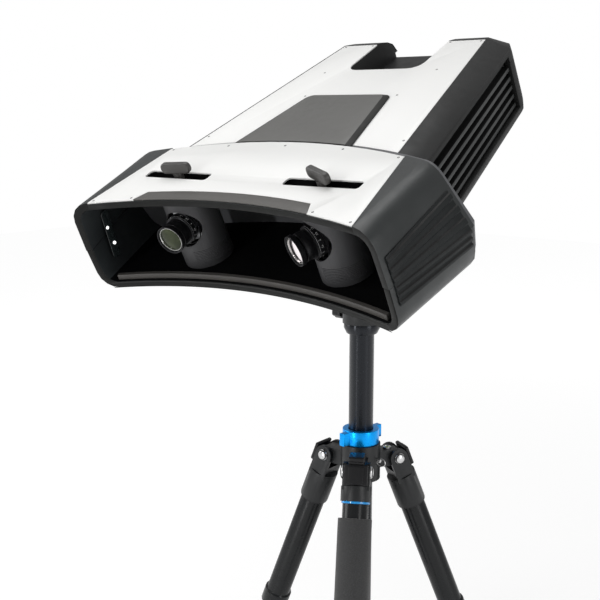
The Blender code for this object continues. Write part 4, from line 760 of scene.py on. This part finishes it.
def lens_pieces():
    for side in SIDES:
        place = at_lens(side)
        reach = LENS_REACH
        outer = [
            (0, 0.0195), (0.0150, 0.0195), (0.0150, reach - 0.0075), (0.0196, reach - 0.0072),
            (0.0202, reach - 0.0066),
        ] + ridged(reach - 0.0062, RIM_GROOVE_PITCH, RIM_GROOVES, 0.0209, 0.0204) + [
            (0.0209, reach - 0.0018), (0.0210, reach - 0.0006), (0.0207, reach), (0.0199, reach),
            (0.0196, reach - 0.0006), (0.0193, reach - 0.0006), (0.0190, reach - 0.0018),
            (0.0187, reach - 0.0018), (0.0184, reach - 0.0030), (0.0181, reach - 0.0030),
            (0.0178, reach - 0.0046), (0, reach - 0.0046),
        ]
        barrel = lathe("turned_barrel_" + side, outer, 96, place)
        shade(barrel, 25)
        replacing(barrel, "lens_barrel_" + side, LENS_BLACK)

        retainer = lathe("retaining_ring_" + side, [
            (0.0170, reach - 0.0044), (0.0180, reach - 0.0044), (0.0180, reach - 0.0024),
            (0.0177, reach - 0.0020), (0.0172, reach - 0.0020), (0.0169, reach - 0.0026),
        ], 96, place, closed=True)
        shade(retainer, 25)
        riding(retainer, "lens_barrel_" + side, RIM_SILVER)

        dome = [(0, reach - 0.0010)]
        dome += [(GLASS_RADIUS * i / 12, reach - 0.0010 - 0.0024 * (i / 12) ** 2) for i in range(1, 13)]
        dome += [(GLASS_RADIUS, reach - 0.0042), (0, reach - 0.0042)]
        glass = lathe("domed_glass_" + side, dome, 96, place)
        shade(glass, 40)
        # The right lens takes the glass with the painted reflection.
        replacing(glass, "front_lens_" + side, LEFT_GLASS if side == "left" else REFLECTION_PAINTED_GLASS)

        ring = knurled_ring("knurled_focus_" + side, 0.0200, 0.0396, 0.0533, 0.0156, KNURL_TEETH, place)
        replacing(ring, "focus_ring_" + side, LENS_BLACK)

        collar = lathe("turned_aperture_" + side, [
            (0.0155, 0.0272), (0.0218, 0.0272), (0.0224, 0.0277), (0.0224, 0.0288), (0.0219, 0.0291),
            (0.0219, 0.0297), (0.0224, 0.0300), (0.0224, 0.0360), (0.0221, 0.0364), (0.0217, 0.0374),
            (0.0217, 0.0380), (0.0221, 0.0386), (0.0214, 0.0390), (0.0155, 0.0390),
        ], 96, place, closed=True)
        shade(collar, 25)
        replacing(collar, "aperture_ring_" + side, LENS_BLACK)
        stops = ["16", "11", "8", "5.6", "4", "2.8", "1.4"]
        numbers = scale_marks("aperture_numbers_" + side, stops, place)
        riding(numbers, "aperture_ring_" + side, MARK_WHITE)
        line = lathe("aperture_line_" + side, [
            (0.02240, 0.0366), (0.02245, 0.0366), (0.02245, 0.0368), (0.02240, 0.0368),
        ], 96, place, closed=True)
        riding(line, "aperture_ring_" + side, MARK_WHITE)


def arc_bar(name, radius, width, height, turn_from, turn_by, steps, place):
    """A thin bar bent round an arc, from a face at its start."""
    bpy.ops.mesh.primitive_plane_add(size=1)
    piece = bpy.context.active_object
    piece.name = name
    only(piece)
    bpy.ops.transform.resize(value=(width, height, 1))
    bpy.ops.object.transform_apply(location=True, rotation=True, scale=True)
    settle(piece, turned(turn_from, "Z") @ moved(radius, 0, 0) @ turned(pi / 2, "X"))
    edit_mode(piece)
    bpy.ops.mesh.spin(steps=steps, angle=-turn_by, center=(0, 0, 0), axis=(0, 0, 1))
    bpy.ops.mesh.select_all(action="SELECT")
    bpy.ops.mesh.remove_doubles(threshold=MERGE)
    bpy.ops.mesh.normals_make_consistent(inside=False)
    object_mode()
    if place:
        settle(piece, place)
    shade(piece, 40)
    return piece


def cowl_pieces():
    """The round cowls, with fine ribs low on the outer side and a slim edge strip."""
    for side in SIDES:
        finished_node("camera_cowl_" + side, COWL, 0.0007, 3)
        ribs = []
        for i in range(COWL_RIBS):
            place = moved(0, 0, COWL_RIB_LOWEST + COWL_RIB_PITCH * i)
            rib = arc_bar("rib", COWL_RIB_RADIUS, 0.0009, 0.0010, radians(-80), radians(95), 28, place)
            ribs.append(rib)
        ribs = joined_pieces(*ribs)
        ribs.name = "cowl_ribs_" + side
        settle(ribs, at_camera(side))
        riding(ribs, "camera_cowl_" + side, COWL)
        rim = lathe("window_rim_" + side, [
            (0.0270, 0.0262), (0.0276, 0.0262), (0.0276, 0.0290), (0.0270, 0.0290),
        ], 64, at_lens(side), closed=True)
        shade(rim, 30)
        riding(rim, "camera_cowl_" + side, BLACK)


def camera_pieces():
    lever_pieces()
    lens_pieces()
    cowl_pieces()
    finished_node("projector_lens", BLACK, 0.0005)


def screw(name, place, node):
    """A small countersunk screw with a round socket."""
    r = SCREW_RADIUS
    head = lathe(name, [
        (0, -0.0008), (r * 0.42, -0.0008), (r * 0.45, 0.00010), (r * 0.86, 0.00012), (r, -0.00005),
        (r, -0.0012), (0, -0.0012),
    ], 24, place)
    shade(head, 30)
    riding(head, node, SCREW)


def plate_screws():
    plates = (("visor", VISOR_SCREWS, VISOR_SCREW_HEIGHT), ("body", BODY_SCREWS, BODY_SCREW_HEIGHT))
    for part, spots, height in plates:
        for i, (x, y) in enumerate(spots):
            place = SCANNER @ moved(x / MILLIMETRES, y / MILLIMETRES, height)
            screw("%s_plate_screw_%d" % (part, i), place, part + "_top_plate")


def inner_light_strip():
    """A clear strip on the left inner wall with two small lights."""
    wall = turned(WALL_LEAN, "Y")
    for i, spot in enumerate(INNER_LIGHTS):
        lamp = lathe("inner_light_%d" % i, [
            (0, -0.0006), (0.0024, -0.0006), (0.0024, 0.0004), (0.0019, 0.0011), (0.0010, 0.0015),
            (0, 0.0016),
        ], 32)
        settle(lamp, SCANNER @ moved(*spot) @ wall @ turned(pi / 2, "Y"))
        shade(lamp, 40)
        riding(lamp, "visor_lower_shell", LED)
    strip = rounded_block("clear_strip", (0.0012, 0.014, 0.074), 0.0055, 0.0004, "X")
    settle(strip, SCANNER @ moved(*STRIP_PLACE) @ wall @ turned(STRIP_TURN, "X"))
    riding(strip, "visor_lower_shell", STRIP)


def along_the_lip(name, radius, width, height, share, low):
    """A bar along the front arc of the visor, over a share of its half width to each side."""
    reach = share * FRONT_HALF / FRONT_RADIUS
    bar = arc_bar(name, radius, width, height, pi / 2 - reach, 2 * reach, 60, moved(0, 0, low))
    settle(bar, SCANNER @ moved(0, -FRONT_RADIUS, 0))
    return bar


def lip_seams():
    """The sill behind the window's lower lip, and the dark joint lines along the lip."""
    sill = along_the_lip("window_sill", FRONT_RADIUS + SILL_BEHIND, 0.0070, 0.0085, SILL_SHARE, SILL_HEIGHT)
    softened_edges(sill, 0.0012, 3)
    riding(sill, "visor_lower_shell", SILL)
    for name, low, height in LIP_LINES:
        line = along_the_lip(name, FRONT_RADIUS, 0.0006, height, LIP_LINE_SHARE, low)
        riding(line, "visor_lower_shell", JOINT_LINE_AND_GROOVE_SHADE)


def at_leg(leg):
    """In the leg's own frame: the leg runs along -Z from its hinge, its outer side is -Y."""
    hinge = Vector(joints["leg_fold_" + leg]["pos_m"])
    outward = turned(LEG_AZIMUTH + radians(LEGS[leg]), "Z")
    return Matrix.Translation(hinge) @ outward @ turned(-LEG_SPLAY, "X")


def hinge_bolts():
    for leg in LEGS:
        for side in (-1, 1):
            turn = turned(side * pi / 2, "Y")
            head = lathe("hinge_bolt_%s_%s" % (leg, "a" if side < 0 else "b"), [
                (0, 0.0050), (0.0025, 0.0049), (0.0050, 0.0044), (0.0072, 0.0034),
                (0.0088, 0.0018), (0.0092, 0.0004), (0.0092, -0.0006), (0, -0.0006),
            ], 48)
            settle(head, at_leg(leg) @ moved(side * YOKE_SIDE, 0, 0) @ turn)
            shade(head, 35)
            riding(head, "leg_yoke_" + leg, CHROME)


def leg_trims():
    ring = lathe("blue_ring", [
        (0.0198, -0.0479), (0.0212, -0.0479), (0.0216, -0.0474), (0.0216, -0.0450), (0.0212, -0.0446),
        (0.0198, -0.0446),
    ], 64, at_leg("front"), closed=True)
    shade(ring, 30)
    riding(ring, "leg_yoke_front", BLUE_BRIGHT)
    for leg in ("right", "left"):
        ring = lathe("socket_ring_" + leg, [
            (0.0198, -0.0892), (0.0222, -0.0892), (0.0226, -0.0888), (0.0226, -0.0872), (0.0198, -0.0872),
        ], 64, at_leg(leg), closed=True)
        shade(ring, 30)
        riding(ring, "leg_yoke_" + leg, BLACK)


def latch_pieces():
    """A raised pad on each pull tab, and the ribbed stop above the front one."""
    for leg in LEGS:
        pad = rounded_block("latch_pad_" + leg, (0.0235, 0.0030, 0.0250), 0.0035, 0.0008, "Y",
                            at_leg(leg) @ moved(*LATCH_PAD))
        riding(pad, "angle_latch_" + leg, BLACK)
    block = rounded_block("stop_block", (0.0230, 0.0270, 0.0190), 0.0030, 0.0007, "X",
                          moved(*STOP_BLOCK))
    ribs = []
    for i in range(3):
        place = moved(0, STOP_RIB_BACK, STOP_RIB_LOWEST + STOP_RIB_PITCH * i)
        ribs.append(rounded_block("rib", (0.0215, 0.0022, 0.0028), 0.0008, 0.0003, "X", place))
    stop = joined_pieces(block, *ribs)
    stop.name = "ribbed_leg_stop"
    hinge = Vector(joints["leg_fold_front"]["pos_m"])
    settle(stop, Matrix.Translation(hinge) @ turned(LEG_AZIMUTH, "Z"))
    riding(stop, "tripod_hub", BLACK)


def hub_trims():
    """A round bubble level on the right arm, and the loop for a strap."""
    turn = turned(LEG_AZIMUTH + radians(LEGS["right"]), "Z")
    spot = HUB_FRAME @ turn @ moved(0, -LEVEL_REACH, -LEVEL_DROP)
    bezel = lathe("bubble_level_bezel", [
        (0.0044, -0.0006), (0.0066, -0.0006), (0.0068, 0.0004), (0.0066, 0.0020), (0.0058, 0.0026),
        (0.0048, 0.0024), (0.0044, 0.0016),
    ], 48, spot, closed=True)
    shade(bezel, 30)
    riding(bezel, "tripod_hub", CHROME)
    vial = lathe("bubble_level_vial", [
        (0, 0.0024), (0.0022, 0.0022), (0.0044, 0.0015), (0.0045, 0.0), (0, 0.0),
    ], 48, spot)
    shade(vial, 40)
    riding(vial, "tripod_hub", VIAL)
    bubble = lathe("bubble_level_ring", [
        (0.0016, 0.00235), (0.0018, 0.00235), (0.0018, 0.0026), (0.0016, 0.0026),
    ], 32, spot, closed=True)
    riding(bubble, "tripod_hub", JOINT_LINE_AND_GROOVE_SHADE)
    strap_loop()


def strap_loop():
    """An oval wire loop on a short post, on the hub between two legs."""
    spot = HUB_FRAME @ turned(LEG_AZIMUTH + LOOP_TURN, "Z")
    wire = [(0.0060 + 0.0010 * cos(i * pi / 5), 0.0010 * sin(i * pi / 5)) for i in range(10)]
    loop = lathe("strap_loop", wire, 48, closed=True)
    edit_mode(loop)
    bpy.ops.transform.resize(value=(1.0, 1.3, 1.0), center_override=(0, 0, 0))
    object_mode()
    settle(loop, spot @ moved(0, -LOOP_REACH, -LOOP_DROP) @ turned(pi / 2, "Y"))
    post = lathe("strap_post", [(0, 0), (0.0030, 0), (0.0030, 0.0060), (0.0022, 0.0072), (0, 0.0072)], 32,
                 spot @ moved(0, -POST_REACH, -POST_DROP) @ turned(pi / 2, "X"))
    loop = joined_pieces(loop, post)
    shade(loop, 40)
    riding(loop, "tripod_hub", CHROME)


def tripod_pieces():
    finished_node("tilt_platform", CASTING, 0.0010)
    finished_node("tripod_head", CASTING, 0.0010)
    finished_node("tilt_lock_knob", BLACK, 0.0010)
    finished_node("pan_lock_knob", BLACK, 0.0008)
    finished_node("column_tube", COLUMN_BLACK, 0.0008)
    finished_node("column_collar", BLUE, 0.0018, 3)
    finished_node("tripod_hub", CASTING, 0.0016, 3)
    finished_node("foam_grip", FOAM, 0.0015, 3)
    for leg in LEGS:
        finished_node("leg_yoke_" + leg, CASTING, 0.0014, 3)
        finished_node("leg_upper_tube_" + leg, GLOSS_BLACK, 0.0008)
        finished_node("leg_lower_tube_" + leg, GLOSS_BLACK, 0.0008)
        finished_node("angle_latch_" + leg, BLACK, 0.0020, 3)
    hinge_bolts()
    leg_trims()
    latch_pieces()
    hub_trims()


# Studio


def white_for_camera(name, colour):
    """A diffuse floor that the camera, mirrors and glass see as plain white, except where it is shaded.

    The lamps light its middle more than its far parts, so its own white grows away from the middle.
    """
    paint, tree, shader = shader_nodes(name)
    shader.inputs["Base Color"].default_value = (*colour, 1)
    shader.inputs["Roughness"].default_value = 0.9
    path = tree.nodes.new("ShaderNodeLightPath")
    seen = tree.nodes.new("ShaderNodeMath")
    seen.operation = "MAXIMUM"
    tree.links.new(path.outputs["Is Camera Ray"], seen.inputs[0])
    tree.links.new(path.outputs["Is Glossy Ray"], seen.inputs[1])
    amount = tree.nodes.new("ShaderNodeMath")
    amount.operation = "MULTIPLY"
    amount.inputs[1].default_value = FLOOR_SHARE
    tree.links.new(seen.outputs[0], amount.inputs[0])
    light = tree.nodes.new("ShaderNodeEmission")
    light.inputs["Color"].default_value = (1, 1, 1, 1)
    where = tree.nodes.new("ShaderNodeTexCoord")
    distance = tree.nodes.new("ShaderNodeVectorMath")
    distance.operation = "LENGTH"
    tree.links.new(where.outputs["Object"], distance.inputs[0])
    level = tree.nodes.new("ShaderNodeMapRange")
    level.inputs["From Min"].default_value = FLOOR_MIDDLE
    level.inputs["From Max"].default_value = FLOOR_FAR
    level.inputs["To Min"].default_value = FLOOR_WHITE_NEAR
    level.inputs["To Max"].default_value = FLOOR_WHITE_FAR
    tree.links.new(distance.outputs["Value"], level.inputs["Value"])
    tree.links.new(level.outputs["Result"], light.inputs["Strength"])
    blend = tree.nodes.new("ShaderNodeMixShader")
    output = tree.nodes["Material Output"]
    tree.links.new(amount.outputs[0], blend.inputs["Fac"])
    tree.links.new(shader.outputs["BSDF"], blend.inputs[1])
    tree.links.new(light.outputs["Emission"], blend.inputs[2])
    tree.links.new(blend.outputs["Shader"], output.inputs["Surface"])
    return paint


def floor_piece():
    bpy.ops.mesh.primitive_plane_add(size=FLOOR_SIZE, location=(0, 0, cad_low[2] - FLOOR_GAP))
    floor = bpy.context.active_object
    floor.name = "studio_floor"
    dressed(floor, white_for_camera("pale_floor", (0.86, 0.86, 0.86)))


def studio_world():
    world = bpy.data.worlds.new("studio")
    bpy.context.scene.world = world
    world.use_nodes = True
    tree = world.node_tree
    background = tree.nodes["Background"]
    path = tree.nodes.new("ShaderNodeLightPath")
    seen = tree.nodes.new("ShaderNodeMath")
    seen.operation = "MAXIMUM"
    tree.links.new(path.outputs["Is Camera Ray"], seen.inputs[0])
    tree.links.new(path.outputs["Is Transmission Ray"], seen.inputs[1])
    strength = tree.nodes.new("ShaderNodeMapRange")
    strength.inputs["To Min"].default_value = WORLD_LEVEL
    strength.inputs["To Max"].default_value = 1.0
    tree.links.new(seen.outputs[0], strength.inputs["Value"])
    tree.links.new(strength.outputs["Result"], background.inputs["Strength"])
    background.inputs["Color"].default_value = (1, 1, 1, 1)


def studio_lights():
    for name, (place, aim_height, size, power) in LAMPS.items():
        data = bpy.data.lights.new(name, "AREA")
        data.shape = "RECTANGLE"
        data.size, data.size_y = size
        data.energy = power
        lamp = bpy.data.objects.new(name, data)
        lamp.location = TILT_AXIS + Vector(place)
        aim = Vector((0, 0, aim_height)) - Vector(place)
        lamp.rotation_euler = aim.to_track_quat("-Z", "Y").to_euler()
        bpy.context.scene.collection.objects.link(lamp)


def photograph_camera():
    data = bpy.data.cameras.new("photograph_camera")
    data.sensor_width = SENSOR_WIDTH
    data.lens = FOCAL_PIXELS * SENSOR_WIDTH / FRAME_PIXELS
    data.clip_end = 50
    camera = bpy.data.objects.new("photograph_camera", data)
    camera.location = TILT_AXIS + CAMERA_FROM_AXIS
    camera.rotation_euler = CAMERA_AHEAD.to_track_quat("-Z", "Y").to_euler()
    bpy.context.scene.collection.objects.link(camera)
    bpy.context.scene.camera = camera


scanner_node_finishes()
visor_pieces()
body_pieces()
plate_screws()
inner_light_strip()
lip_seams()
camera_pieces()
tripod_pieces()
floor_piece()
studio_world()
studio_lights()
photograph_camera()
bpy.context.scene.view_settings.view_transform = "Standard"
